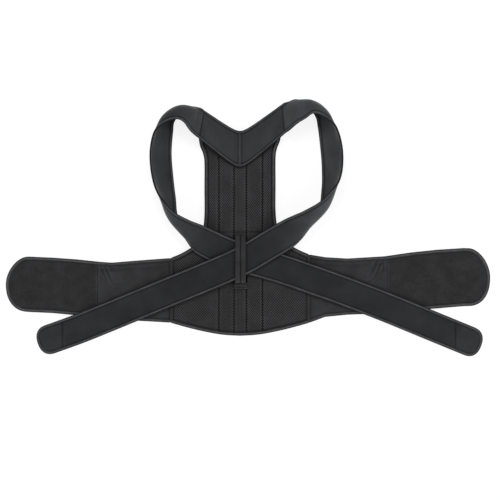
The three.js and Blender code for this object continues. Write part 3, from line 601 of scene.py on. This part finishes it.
def strap(side, rows, name):
    """A shoulder strap with its folded tapes, stitch lines and rounded, patched end."""
    last, crossing, patched_length = len(rows) - 1, len(RIGHT_LOOP) - 0.5, 30.0
    span = np.linalg.norm(rows[last, :2] - rows[last - 1, :2])
    seam = last - TIP_LENGTH / span
    patched = seam - patched_length / span
    place = np.concatenate([np.linspace(0, crossing, 250)[:-1],
                            np.linspace(crossing, patched, 106)[:-1],
                            np.linspace(patched, seam, 28)])
    grid = mirrored(strap_surface(rows, place, ACROSS), side)
    ups = normals_of(grid, -1, MIDDLE)
    middle = walk(grid[:, MIDDLE])
    along, over = np.broadcast_arrays(middle[:, None], ACROSS * STRAP_WIDTH)
    inner = smoothstep(0.5, 0.36, np.abs(ACROSS))
    wave = 0.35 * unevenness(along / 34, over / 30 + 9, 11 if side > 0 else 23) * inner
    middle_grid = grid + ups * wave[..., None]
    # Painted light and shade along the strap, from the tables above
    painted_light_rows = np.array(RIGHT_PAINTED_LIGHT if side > 0 else LEFT_PAINTED_LIGHT)
    by_low, by_free = (np.interp(place, painted_light_rows[:, 0], painted_light_rows[:, k])[:, None] for k in (1, 2))
    from_edge = (0.5 - np.abs(ACROSS)) * STRAP_WIDTH
    x, y = grid[..., 0], grid[..., 1]
    # Painted light and shade: the table lightens the strap where it turns to the light; painted
    # shade darkens a line inside each tape, the seam at the yoke and the patch seam; the keeper
    # casts a painted shadow on it; a little uneven tone is its own
    tone = (lerp(by_low, by_free, smoothstep(-0.4, 0.4, ACROSS))
            * (1 - 0.75 * hump(from_edge, TAPE_WIDTH + 0.5, 1.3))
            * (1 - 0.55 * hump(along, 0, 1.6))
            * patch_seam(side, x, place[:, None] > len(RIGHT_LOOP) + 2) * keeper_painted_shadow(x, y)
            * (1 + 0.1 * unevenness(along / 22, over / 20 + 17, 91 + side)))
    # The right strap casts a painted shadow on the left one
    if side < 0:
        tone = tone * strap_painted_shadow(x, y, [(1, RIGHT_ROWS)])
    body = shell(name, "brushed_fabric", f"strap_{SIDE_NAME[side]}",
                 middle_grid + ups * STRAP_HALF, middle_grid - ups * STRAP_HALF,
                 np.stack([along, over], 2), tone)
    tip, end = strap_tip(side, rows, seam, span)
    low, free = edge_of(grid, ups, 0), edge_of(grid, ups, -1)

    def round_the_strap(distance):
        a, b, c = low(distance), end(distance), free(distance)
        return [np.concatenate([a[k], b[k], c[k][::-1]]) for k in (0, 1)]

    tape = edge_tape(f"{name}_tape", round_the_strap, folded_tape(STRAP_HALF))
    points, normals = round_the_strap(TAPE_WIDTH - STITCHES_IN)
    sewn = stitches(f"{name}_stitches",
                    [lifted((points, normals * face), SEWN_LEVEL) for face in (1, -1)])
    return body, tape, sewn, tip, middle[-1]


def strap_tip(side, rows, seam, span):
    """The strap's end: cross lines of the strap shortened by a rounded outline, whose half
    width is (1 - s^2.4)^(1/2.4) over the last stretch, sewn along its seam to a patch."""
    label, last, power = SIDE_NAME[side], len(rows) - 1, 2.4
    bend = last - TIP_ROUNDING / span
    place = np.concatenate([np.linspace(seam, bend, 24)[:-1],
                            bend + (last - bend) * np.sin(np.pi / 2 * np.linspace(0, 1, 30))])
    round_ = np.clip((place - bend) / (last - bend), 0, 1)
    width = np.maximum(0.03, (1 - round_**power) ** (1 / power))[:, None]
    full = strap_surface(rows, place, ACROSS)
    centre = full[:, MIDDLE:MIDDLE + 1]
    grid = mirrored(centre + (full - centre) * width[..., None], side)
    middle = grid[:, MIDDLE]
    along = np.repeat(walk(middle)[:, None], len(ACROSS), 1)
    over = np.linalg.norm(grid - middle[:, None], axis=2) * np.sign(ACROSS)
    patch = 0.3 * smoothstep(1.5, 3.5, along) * smoothstep(0.0, 0.04, 1 - np.abs(2 * ACROSS))
    wave = 0.2 * unevenness(along / 14, over / 14 + 3, 31 if side > 0 else 37)
    lift = patch + wave * smoothstep(1, 5, along)
    rim = np.minimum(STRAP_WIDTH / 2 * width - np.abs(over), along[-1:] - along)
    # Painted shade along the patch seam and in a line inside the tape
    tone = patch_seam(side, grid[..., 0], 1.0) * (1 - 0.7 * hump(rim, TAPE_WIDTH + 0.5, 1.3))
    tip = shell(f"strap_{label}_end", "fastening_fabric", f"strap_{label}_tip",
                grid + UP * (STRAP_HALF - 0.15 + lift)[..., None], grid - UP * STRAP_HALF,
                np.stack([along, over], 2), tone)
    edge = respaced(np.concatenate([grid[:, 0], grid[::-1, -1]]), 150)[2:-2]
    ahead = unit(middle[3] - middle[0])
    reach = 23.5 / abs(ahead[0])
    patch_y = middle[0, 1] + (PATCH_X[side] - middle[0, 0]) * ahead[1] / ahead[0]
    y = patch_y + np.linspace(-reach, reach, 30)
    stitches(f"strap_{label}_end_stitches",
             [upright(PATCH_X[side] + shift, y, ON_TABLE + STRAP_HALF + 0.25)
              for shift in (-1.3, 1.3)], "fastening_fabric")
    return tip, plan_edge(edge[:, :2], edge[:, 2], -side)


RIGHT_STRAP = strap(1, RIGHT_ROWS, "shoulder_strap_right")
LEFT_STRAP = strap(-1, LEFT_ROWS, "shoulder_strap_left")


# ---- yoke
YOKE_NOTCH = (strap_point(RIGHT_ROWS, 0)[1] + strap_point(LEFT_ROWS, 0)[1]) / 2 - YOKE_SAG
YOKE_POINT = YOKE_NOTCH - YOKE_DEPTH


def eased(share, rows):
    """Rise of the yoke at a share of the way out to the strap, from 0 to 1, with the bend at its
    middle eased by a hyperbola, sqrt(s^2 + r^2)."""
    round_ = YOKE_ROUNDING / strap_point(rows, 0)[0]
    return (np.hypot(share, round_) - round_) / (np.hypot(1, round_) - round_)


def yoke(side, rows):
    """Half of the yoke: eased lines from the seam at the middle to the strap's first section."""
    label = SIDE_NAME[side]
    share, depth = np.linspace(0, 1, 70)[:, None], np.linspace(0, 1, 61)
    end_x, end_y, end_z = strap_surface(rows, np.array([0.0]), depth - 0.5)[0].T
    grid = mirrored(np.stack([lerp(0.0, end_x + 0.3, share),
                              lerp(lerp(YOKE_NOTCH, YOKE_POINT, depth), end_y, eased(share, rows)),
                              lerp(ON_PANEL, end_z, share)], 2), side)
    ups = normals_of(grid, 0, 30)
    along, over = np.broadcast_arrays(walk(grid[:, 30])[:, None], walk(grid[35]))
    inner = smoothstep(0, 0.12, depth) * smoothstep(1, 0.88, depth)
    wave = (0.4 * unevenness(along / 26, over / 24, 41 if side > 0 else 43)
            * inner * smoothstep(0, 12, along))
    top = grid + ups * (STRAP_HALF + wave - 0.5 * hump(along, 4.0, 1.2))[..., None]
    from_edge = np.minimum(over, over[:, -1:] - over)
    # Painted light makes the yoke 1.75 times lighter, and painted shade darkens a line inside each
    # tape, the middle seam and the seam to the strap
    tone = ((1.75 - 1.35 * hump(from_edge, TAPE_WIDTH + 0.6, 1.3))
            * (1 - 0.5 * hump(along, 4.0, 1.4))
            * (1 - 0.75 * hump(along[-1:] - along, 1.0, 1.6)))
    body = shell(f"yoke_{label}_half", "brushed_fabric", f"yoke_{label}", top,
                 grid - ups * STRAP_HALF, np.stack([along, over], 2), tone)
    pieces, lines = [], []
    for column, place in ((0, "upper"), (-1, "lower")):
        at = edge_of(grid, ups, column)
        pieces.append(edge_tape(f"yoke_{label}_{place}_tape", at, folded_tape(STRAP_HALF)))
        lines.append(lifted(at(TAPE_WIDTH - STITCHES_IN), SEWN_LEVEL))
    lines += [(top[station, 3:-3], ups[station, 3:-3]) for station in (8, 67)]
    pieces.append(stitches(f"yoke_{label}_stitches", lines))
    area = np.linalg.norm(np.cross(np.diff(grid[:, :-1], axis=0), np.diff(grid[:-1], axis=1)),
                          axis=2).sum()
    return body, pieces, area


def yoke_ridge():
    """Half-round piping over the yoke's middle seam, from the notch down to the point."""
    y = np.linspace(YOKE_NOTCH - 1.5, YOKE_POINT + 2.0, 80)
    at = plan_edge(np.stack([np.full(80, -1.2), y], 1), ON_PANEL + STRAP_HALF - 0.2, -1)
    half_width, height = 1.9, 1.5
    turn = np.linspace(0, np.pi, 13)
    arch = np.stack([half_width * np.cos(turn), height * np.sin(turn)], 1)
    edge_tape("yoke_seam_piping", at,
              np.concatenate([arch, [[-half_width, -0.3], [half_width, -0.3]]]), 0.9)


yoke_ridge()
YOKE_RIGHT = yoke(1, RIGHT_ROWS)
YOKE_LEFT = yoke(-1, LEFT_ROWS)


# ---- back panel
def side_edge(waist_top, rows, count=240):
    """Side of the panel from the shoulder to the waist, along the smooth curve of its table, as
    points at even distances."""
    corner = strap_point(rows, 0.5)[1] + CORNER_UNDERLAP
    flare, level = smooth_rows(SIDE_ROWS, np.linspace(0, len(SIDE_ROWS) - 1, 400)).T
    line = np.stack([lerp(PANEL_HALF_WIDTH, LUMBAR_HALF_WIDTH, flare),
                     lerp(waist_top, corner, level)], 1)
    return respaced(line, count)


def lower_edge(x):
    """Height of the panel's lower edge above each x, along the smooth curve of its table."""
    across, drop = smooth_rows(LOWER_ROWS, np.linspace(0, len(LOWER_ROWS) - 1, 200)).T
    return np.interp(np.abs(x), across * LUMBAR_HALF_WIDTH, -drop * PANEL_DROP)


RIGHT_SIDE = side_edge(RIGHT_WAIST_TOP, RIGHT_ROWS)
LEFT_SIDE = side_edge(LEFT_WAIST_TOP, LEFT_ROWS) * [-1, 1]
NOTCH = np.array([[0.0, YOKE_POINT + NOTCH_UNDERLAP]])
BOTTOM_X = np.linspace(-LUMBAR_HALF_WIDTH, LUMBAR_HALF_WIDTH, 281)
BOTTOM = np.stack([BOTTOM_X, lower_edge(BOTTOM_X)], 1)
OUTLINE = np.concatenate([RIGHT_SIDE[::-1], NOTCH, LEFT_SIDE, BOTTOM])


def distance_in(x, y):
    """Distance of each point of the panel from its outline, measured to the nearest stretch."""
    a, b = OUTLINE, np.roll(OUTLINE, -1, axis=0)
    p = np.stack([x.ravel(), y.ravel()], 1).astype(np.float32)
    best = np.full(len(p), 1e9, np.float32)
    way = (b - a).astype(np.float32)
    length = np.maximum((way**2).sum(1), 1e-6)
    for block in np.array_split(np.arange(len(p)), 24):
        q = p[block, None] - a[None].astype(np.float32)
        t = np.clip((q * way[None]).sum(2) / length, 0, 1)
        best[block] = np.sqrt(((q - t[..., None] * way[None]) ** 2).sum(2)).min(1)
    return best.reshape(x.shape)


def padding_swell(x, y, top, bottom, near, cap=0.7, frames=20):
    """Rise of the padding in millimetres, by a cloth simulation of the closed panel on a thinned
    grid: air pressure lifts the top between the pinned rim, seams and underside, and the rise r
    is eased to its cap c by c * tanh(r / c)."""
    seams = np.abs(x[100, :, None] - CHANNEL_SEAMS).argmin(0)
    columns = [0]
    for k in range(1, x.shape[1] - 1):
        gap, skipped = np.abs(seams - k).min(), k - columns[-1]
        if gap == 0 or (gap > 9 and skipped > 3) or (4 < gap <= 9 and skipped > 4):
            columns.append(k)
    columns.append(x.shape[1] - 1)
    rows = np.unique(np.append(np.arange(0, x.shape[0], 3), x.shape[0] - 1))
    pick = np.ix_(rows, columns)
    piece = laid_shell("padding", "spacer_mesh", None, x[pick], y[pick], top[pick], bottom[pick])
    held = np.zeros((len(rows), len(columns)), bool)
    held[[0, -1]] = held[:, [0, -1]] = True
    held |= near[pick] < 0.3
    group = piece.vertex_groups.new(name="held")
    group.add(np.flatnonzero(held).tolist(), 1.0, "REPLACE")
    group.add(list(range(held.size, 2 * held.size)), 1.0, "REPLACE")
    cloth = piece.modifiers.new("pressure", "CLOTH")
    cloth.settings.quality, cloth.settings.mass = 6, 0.2
    cloth.settings.use_pressure, cloth.settings.uniform_pressure_force = True, 4
    cloth.settings.effector_weights.gravity = 0
    cloth.settings.vertex_group_mass = "held"
    cloth.point_cache.frame_start, cloth.point_cache.frame_end = 1, frames
    for step in range(1, frames + 1):
        bpy.context.scene.frame_set(step)
    solved = piece.evaluated_get(bpy.context.evaluated_depsgraph_get())
    place = np.zeros(6 * held.size, np.float32)
    solved.data.vertices.foreach_get("co", place)
    rise = place.reshape(-1, 3)[:held.size, 2].reshape(held.shape) / MILLIMETRE - top[pick]
    bpy.data.objects.remove(piece)
    bpy.context.scene.frame_set(1)
    rise = cap * np.tanh(np.maximum(rise, 0) / cap)
    print(f"padding: {held.size} points, rise {rise.mean():.2f} mm, most {rise.max():.2f} mm")
    down = np.interp(np.arange(x.shape[0]), rows, np.arange(len(rows)))
    over = np.interp(np.arange(x.shape[1]), columns, np.arange(len(columns)))
    return smooth_rows(smooth_rows(rise, down).T, over).T


def back_panel():
    """Padded panel: columns keep their place over the stays and fan out beyond them to the
    edges; its top rises from the thin rim to the padding by a quarter circle, swells between
    the channel seams and drops into a narrow groove along each seam."""
    core_half, count, cross_half = 60.0, 150, 46.0
    beside = np.array([0, 0.4, 0.9, 1.5, 2.2])
    core = np.unique(np.round(np.concatenate(
        [np.linspace(-core_half, core_half, 97)]
        + [seam + beside * turn for seam in CHANNEL_SEAMS for turn in (-1, 1)]), 2))
    outer = np.linspace(0, 1, 40)[1:] ** 0.8
    left, right = respaced(LEFT_SIDE, count), respaced(RIGHT_SIDE, count)
    x = np.concatenate([lerp(-core_half, left[:, :1], outer[::-1]), np.tile(core, (count, 1)),
                        lerp(core_half, right[:, :1], outer)], 1)
    share = (x - left[:, :1]) / (right[:, :1] - left[:, :1])
    y = lerp(left[:, 1:], right[:, 1:], share)
    dip = lerp(left[0, 1], right[0, 1], 0.5) - NOTCH[0, 1]
    depth = np.linspace(0, 1, count)[:, None]
    y = y - dip * (1 - np.abs(2 * share - 1)) * np.maximum(1 - depth / 0.35, 0)
    low_share = np.linspace(0, 1, 80)[1:, None]
    y = np.concatenate([y, lerp(y[-1:], lower_edge(x[-1]), low_share)])
    x = np.concatenate([x, np.repeat(x[-1:], len(low_share), 0)])
    inward = distance_in(x, y)
    body = np.sqrt(np.maximum(1 - (1 - np.clip(inward / 7, 0, 1)) ** 2, 0))
    near = np.abs(x[..., None] - CHANNEL_SEAMS).min(2)
    flat_top = 3.7 + (PANEL_THICKNESS - 3.85) * body
    bottom = 2.15 - 2.15 * body
    swell = padding_swell(x, y, flat_top, bottom, near)
    sewn_across = np.abs(x) < cross_half
    groove = (2.4 * hump(near, 0, 1.15) * smoothstep(3, 8, inward)
              + 0.9 * hump(y, CROSS_SEAM, 1.3) * sewn_across)
    # Painted shade darkens the seam grooves, the cross seam and a line inside the tapes; painted
    # highlights run beside each seam; the straps and keeper cast painted shadows; the panel is
    # lighter at the top and darker towards the bottom
    tone = ((1 - 0.65 * hump(near, 0, 1.3) * smoothstep(2, 6, inward))
            * (1 - 0.45 * hump(y, CROSS_SEAM, 1.6) * sewn_across)
            * (1 + 0.25 * hump(near, 4.2, 1.6)) * (1 - 0.8 * hump(inward, 7.2, 1.5))
            * strap_painted_shadow(x, y) * keeper_painted_shadow(x, y)
            * lerp(1.1, 0.9, smoothstep(60, -40, y)))
    # Painted shadow of the yoke's lower edge on the panel
    for rows, half in ((RIGHT_ROWS, x >= 0), (LEFT_ROWS, x < 0)):
        end_x, end_y = strap_point(rows, 0.5)[:2]
        hem = lerp(YOKE_POINT, end_y, eased(np.clip(np.abs(x) / end_x, 0, 1), rows))
        tone *= 1 - 0.6 * half * hump(y - hem, -1.6, 2.2)
    wave = 0.15 * unevenness(x / 30 + 50, y / 42 + 50, 51) * smoothstep(6, 16, inward)
    return laid_shell("back_panel", "spacer_mesh", "spine_panel", x, y,
                      flat_top + swell - groove + wave, bottom, tone, 60)


PANEL = back_panel()


def panel_tape(name, node, line, inward_side, width=PANEL_TAPE):
    """Tape folded over the panel's rim, whose legs climb with the padding as they run inwards."""
    half, raise_, climb, fall = 1.0, 0.6, 0.42, -0.28
    at = plan_edge(line, 3.0, inward_side)
    inward, height = folded_tape(half, width, raise_).T
    height = height + np.where(height > 0, climb, fall) * np.maximum(inward, 0)
    # Painted shade on the outer edge and along the hem, and a painted highlight on the core between
    # them
    tone = 0.12 + 1.3 * smoothstep(0.4, 2.3, inward) * smoothstep(width + 0.1, width - 1.5, inward)
    edge_tape(name, at, np.stack([inward, height], 1), tone, [node])
    sewn = width - STITCHES_IN
    stitches(f"{name}_stitches", [lifted(at(sewn), half + raise_ + climb * sewn)])


panel_tape("panel_right_tape", "binding_right", RIGHT_SIDE[8:-3], -1)
panel_tape("panel_left_tape", "binding_left", LEFT_SIDE[8:-3], 1)
panel_tape("panel_bottom_tape", "binding_bottom", BOTTOM[2:-2], 1, LOWER_TAPE)


def channel_stitches():
    """Stitches down each channel seam, two short rows over the middle channel, and the cross
    seam."""
    y = np.linspace(YOKE_POINT + 20, -PANEL_DROP + 9, 200)
    lines = [upright(seam, y, PANEL_THICKNESS - 1.75) for seam in CHANNEL_SEAMS]
    lines += [upright(np.linspace(-11.5, -1.5, 30), row + shift, PANEL_THICKNESS + 0.35)
              for row in (148.0, 141.0) for shift in (-0.5, 0.0, 0.5)]
    lines.append(upright(np.linspace(-41, 44, 120), CROSS_SEAM, PANEL_THICKNESS - 0.3))
    stitches("channel_stitches", lines, "spacer_mesh")


channel_stitches()


# ---- waist belt
def belt_grid(rows, start, length, side, rounding, columns=91, lines=71):
    """Cloth between a straight-sided upper and lower edge, whose height shrinks to the free end
    by (1 - s^n)^(1/n), with n 1.8 above the middle and 2.3 below it. Gives x and y, the share of
    the length, the share of the height and the distance from the nearer edge."""
    share = np.linspace(0, 1, columns)[:, None]
    if rounding:
        share = np.sin(np.pi / 2 * share)
    down = np.linspace(0, 1, lines)
    place, *edges = np.array(rows).T
    upper, lower = (np.interp(share, place, edge) * BELT_HEIGHT for edge in edges)
    bend = 1 - rounding / length
    cap = np.clip((share - bend) / (1 - bend + 1e-9), 0, 1) if rounding else 0 * share
    power = np.where(down < 0.5, 1.8, 2.3)
    height = np.maximum(0.02, (1 - cap**power) ** (1 / power))
    y = (upper + lower) / 2 + (upper - lower) * height * (0.5 - down)
    x = side * (start + share * length) + 0 * y
    return x, y, share, down, np.minimum(down, 1 - down) * BELT_HEIGHT


def wing(side, rows, length):
    """Stretch wing of the belt: short slanting wrinkles towards the pad, deepest along the top,
    and a long fold under the upper edge."""
    label = SIDE_NAME[side]
    x, y, s, down, from_edge = belt_grid(rows, LUMBAR_HALF_WIDTH, length, side, 0)
    inner = smoothstep(0, 0.07, down) * smoothstep(1, 0.93, down)
    bent = 1.1 * unevenness(s * 5, down * 3, 61)
    slant = np.sin(2 * np.pi * (s * length / 17 + down * 6 + bent))
    patches = smoothstep(-0.5, 0.6, unevenness(s * 7 + 20, down * 5, 63))
    wrinkle = 0.9 * slant * patches * smoothstep(0.5, 0.95, s) * smoothstep(0.75, 0.2, down)
    fold = -0.8 * hump(down, 0.13, 0.025) * smoothstep(0.02, 0.15, s)
    rise = (wrinkle + fold + 0.35 * unevenness(s * 5, down * 4, 67 + side)) * inner
    above, below, thread = 1.15, 1.25, 1.35
    # Painted shade in a line inside the tapes and at the seam to the panel, painted light and shade
    # on the wrinkle crests and in the fold, and the straps' painted shadow
    tone = ((1 - 0.5 * hump(from_edge, 5.6, 1.3)) * (1 - 0.5 * hump(s * length, 0, 2.2))
            * (1 + 0.35 * wrinkle + 0.25 * fold) * strap_painted_shadow(x, y))
    piece = laid_shell(f"wing_{label}_cloth", "elastic_mesh", f"wing_{label}", x, y,
                       WING_MIDDLE + above + rise, WING_MIDDLE - below, tone)
    for column, place, inward in ((0, "upper", -side), (-1, "lower", side)):
        at = plan_edge(np.stack([x[:, column], y[:, column]], 1), WING_MIDDLE, inward)
        edge_tape(f"wing_{label}_{place}_tape", at, folded_tape(1.0, WING_TAPE))
        stitches(f"wing_{label}_{place}_stitches",
                               [lifted(at(WING_TAPE - STITCHES_IN), thread)])


def pad(side, rows, wing_length, length):
    """Fastening pad of the belt: napped cloth with soft dents, thinner towards its taped edge."""
    label = SIDE_NAME[side]
    start, above, below, thread = LUMBAR_HALF_WIDTH + wing_length, 1.35, 1.45, 0.33
    x, y, s, down, from_edge = belt_grid(rows, start, length, side, PAD_ROUNDING, 131, 91)
    inner = (smoothstep(0, 0.08, down) * smoothstep(1, 0.92, down) * smoothstep(1, 0.94, s)
             * smoothstep(0, 0.03, s))
    dents = unevenness(x / 19 + 40, y / 17 + 40, 71 + side, ((1, 0.7), (2.2, 0.5), (5, 0.2)))
    seam = s * length
    ridges = hump(seam, 1.8, 1.4) + 0.5 * hump(seam, 7.2, 1.3)
    # Painted light on the raised dents and the seam's ridges, painted shade in the groove between
    # the ridges and in a line inside the tape, and the straps' painted shadow
    tone = (0.92 * (1 + 0.22 * dents + 1.6 * ridges - 0.4 * hump(seam, 4.6, 1.0))
            * (1 - 0.6 * hump(from_edge, 6.2, 1.2)) * strap_painted_shadow(x, y))
    top = PAD_MIDDLE + above + 0.5 * dents * inner + 0.5 * ridges
    piece = laid_shell(f"pad_{label}_cloth", "loop_fabric", f"pad_{label}", x, y, top,
                       PAD_MIDDLE - below, tone)
    plan = np.stack([x, y], 2)
    line = respaced(np.concatenate([plan[:, 0], plan[::-1, -1]]), 420)
    line = np.concatenate([line, line[-1:] + unit(line[-1:] - line[-2:-1]) * 0.5])
    at = plan_edge(line, PAD_MIDDLE, -side)
    tape = edge_tape(f"pad_{label}_tape", at, folded_tape(above, PAD_TAPE))
    seam_y = np.linspace(y[2, 3], y[2, -4], 60)
    sewn = stitches(f"pad_{label}_stitches",
                    [lifted(at(PAD_TAPE - STITCHES_IN), above + thread)]
                    + [upright(side * (start + shift), seam_y, PAD_MIDDLE + above)
                       for shift in (2.4, 5.4)])


wing(1, RIGHT_WING, RIGHT_WING_LENGTH)
wing(-1, LEFT_WING, LEFT_WING_LENGTH)
pad(1, RIGHT_PAD, RIGHT_WING_LENGTH, RIGHT_PAD_LENGTH)
pad(-1, LEFT_PAD, LEFT_WING_LENGTH, LEFT_PAD_LENGTH)


# ---- keeper
def keeper():
    """Keeper webbing: its section has two raised ribs with a groove between them, and its route
    rises from the panel over the straps and drops to its foot; both are eased curves."""
    low, high = 7.6, 14.2
    y = np.array([50, 46, 42.5, 39, 30, 3, -36, -41.5, -43.2, -43.4])
    z = np.array([low, low + .2, (low + high) / 2, high - .4, high, high + .4, high, high - .7,
                  (low + high) / 2, low])
    route = respaced(np.stack([y, z], 1), 90)
    across = np.linspace(-0.5, 0.5, 41)
    rib = smoothstep(0.5, 0.44, np.abs(across)) * smoothstep(0.03, 0.11, np.abs(across))
    grid = np.zeros((90, 41, 3))
    grid[..., 0] = KEEPER_SHIFT + across * KEEPER_WIDTH
    grid[..., 1:] = route[:, None]
    ups = normals_of(grid, 40, 20)
    way = walk(route)
    cloth = np.stack(np.broadcast_arrays(way[:, None], across * KEEPER_WIDTH), 2)
    # The tone paints shade into the groove between the ribs and along the outer edges
    piece = shell("keeper_webbing", "webbing", "keeper_loop",
                  grid + ups * (1.0 + 0.85 * rib)[:, None], grid - ups * 0.95, cloth,
                  0.25 + 0.75 * rib, 60)


def keeper_foot():
    """Folded end of the keeper: a soft block with a rounded section, pressed in along its
    stitches."""
    low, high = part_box("keeper_foot")
    low, high = (np.array(v) / MILLIMETRE - SHIFT for v in (low, high))
    u = np.linspace(-1, 1, 61)[:, None]
    v = np.linspace(-1, 1, 41)[None]
    middle, half = (low + high) / 2, (high - low) / 2
    square = lambda t: np.sign(t) * (1 - (1 - np.abs(t)) ** 1.6)
    x = middle[0] + half[0] * square(u) + 0 * v
    y = middle[1] + half[1] * square(v) + 0 * u
    edge = (1 - np.abs(u) ** 8) ** 0.5 * (1 - np.abs(v) ** 6) ** 0.5
    press = 0.5 * (hump(v, 0.45, 0.12) + hump(v, -0.35, 0.12)) + 0 * u
    # Painted shade darkens the pressed-in lines
    laid_shell("keeper_end_fold", "webbing", "keeper_foot", x, y,
               middle[2] + half[2] * edge * (1 - 0.3 * press), middle[2] - half[2] * edge,
               0.9 - 1.2 * press, 60)


keeper()
keeper_foot()


# ---- table, light and camera
def placed(name, data, place):
    """New object at a place in metres."""
    thing = bpy.data.objects.new(name, data)
    bpy.context.scene.collection.objects.link(thing)
    thing.location = place
    return thing


def studio():
    """White paper under a wide soft sky that is brightest near the horizon, four soft lamps, and
    the camera straight above."""
    floor_mesh = bpy.data.meshes.new("floor")
    floor_mesh.from_pydata([(-4, -4, 0), (4, -4, 0), (4, 4, 0), (-4, 4, 0)], [], [(0, 1, 2, 3)])
    paper = bpy.data.materials.new("paper")
    paper.use_nodes = True
    shader = paper.node_tree.nodes["Principled BSDF"]
    set_inputs(shader, {"Base Color": (0.25, 0.25, 0.25, 1), "Roughness": 0.9,
                        "Specular IOR Level": 0.1, "Emission Color": (1, 1, 1, 1),
                        "Emission Strength": 0.8})
    floor_mesh.materials.append(paper)
    placed("floor", floor_mesh, (0, 0, -0.0003))
    world = bpy.data.worlds.new("studio")
    world.use_nodes = True
    tree = world.node_tree
    sky = tree.nodes["Background"]
    sky.inputs[0].default_value = (1, 1, 1, 1)
    way = tree.nodes.new("ShaderNodeTexCoord")
    parts = tree.nodes.new("ShaderNodeSeparateXYZ")
    fall = tree.nodes.new("ShaderNodeMapRange")
    set_inputs(fall, {"From Min": 0.0, "From Max": 1.0, "To Min": 1.0, "To Max": 0.26})
    tree.links.new(way.outputs["Generated"], parts.inputs[0])
    tree.links.new(parts.outputs[2], fall.inputs[0])
    tree.links.new(fall.outputs[0], sky.inputs[1])
    bpy.context.scene.world = world
    for name, place, size, power in (("key", (-0.25, 1.6, 1.5), 0.9, 20),
                                     ("right", (1.9, -0.5, 0.7), 1.2, 23),
                                     ("left", (-1.9, -0.5, 0.7), 1.2, 15),
                                     ("low", (0.3, -1.9, 0.6), 1.2, 18)):
        light = bpy.data.lights.new(name, "AREA")
        light.size, light.energy = size, power
        lamp = placed(name, light, place)
        lamp.rotation_euler = (-Vector(place)).to_track_quat("-Z", "Y").to_euler()
    camera = bpy.data.cameras.new("camera")
    camera.lens, camera.sensor_width, camera.clip_end = 200, 36, 50
    frame_width, focus = 1.0, 0.006
    height = frame_width * camera.lens / camera.sensor_width + focus
    bpy.context.scene.camera = placed("camera", camera, (0.004, -0.0436, height))
    view = bpy.context.scene.view_settings
    view.view_transform, view.look = "Standard", "None"


studio()
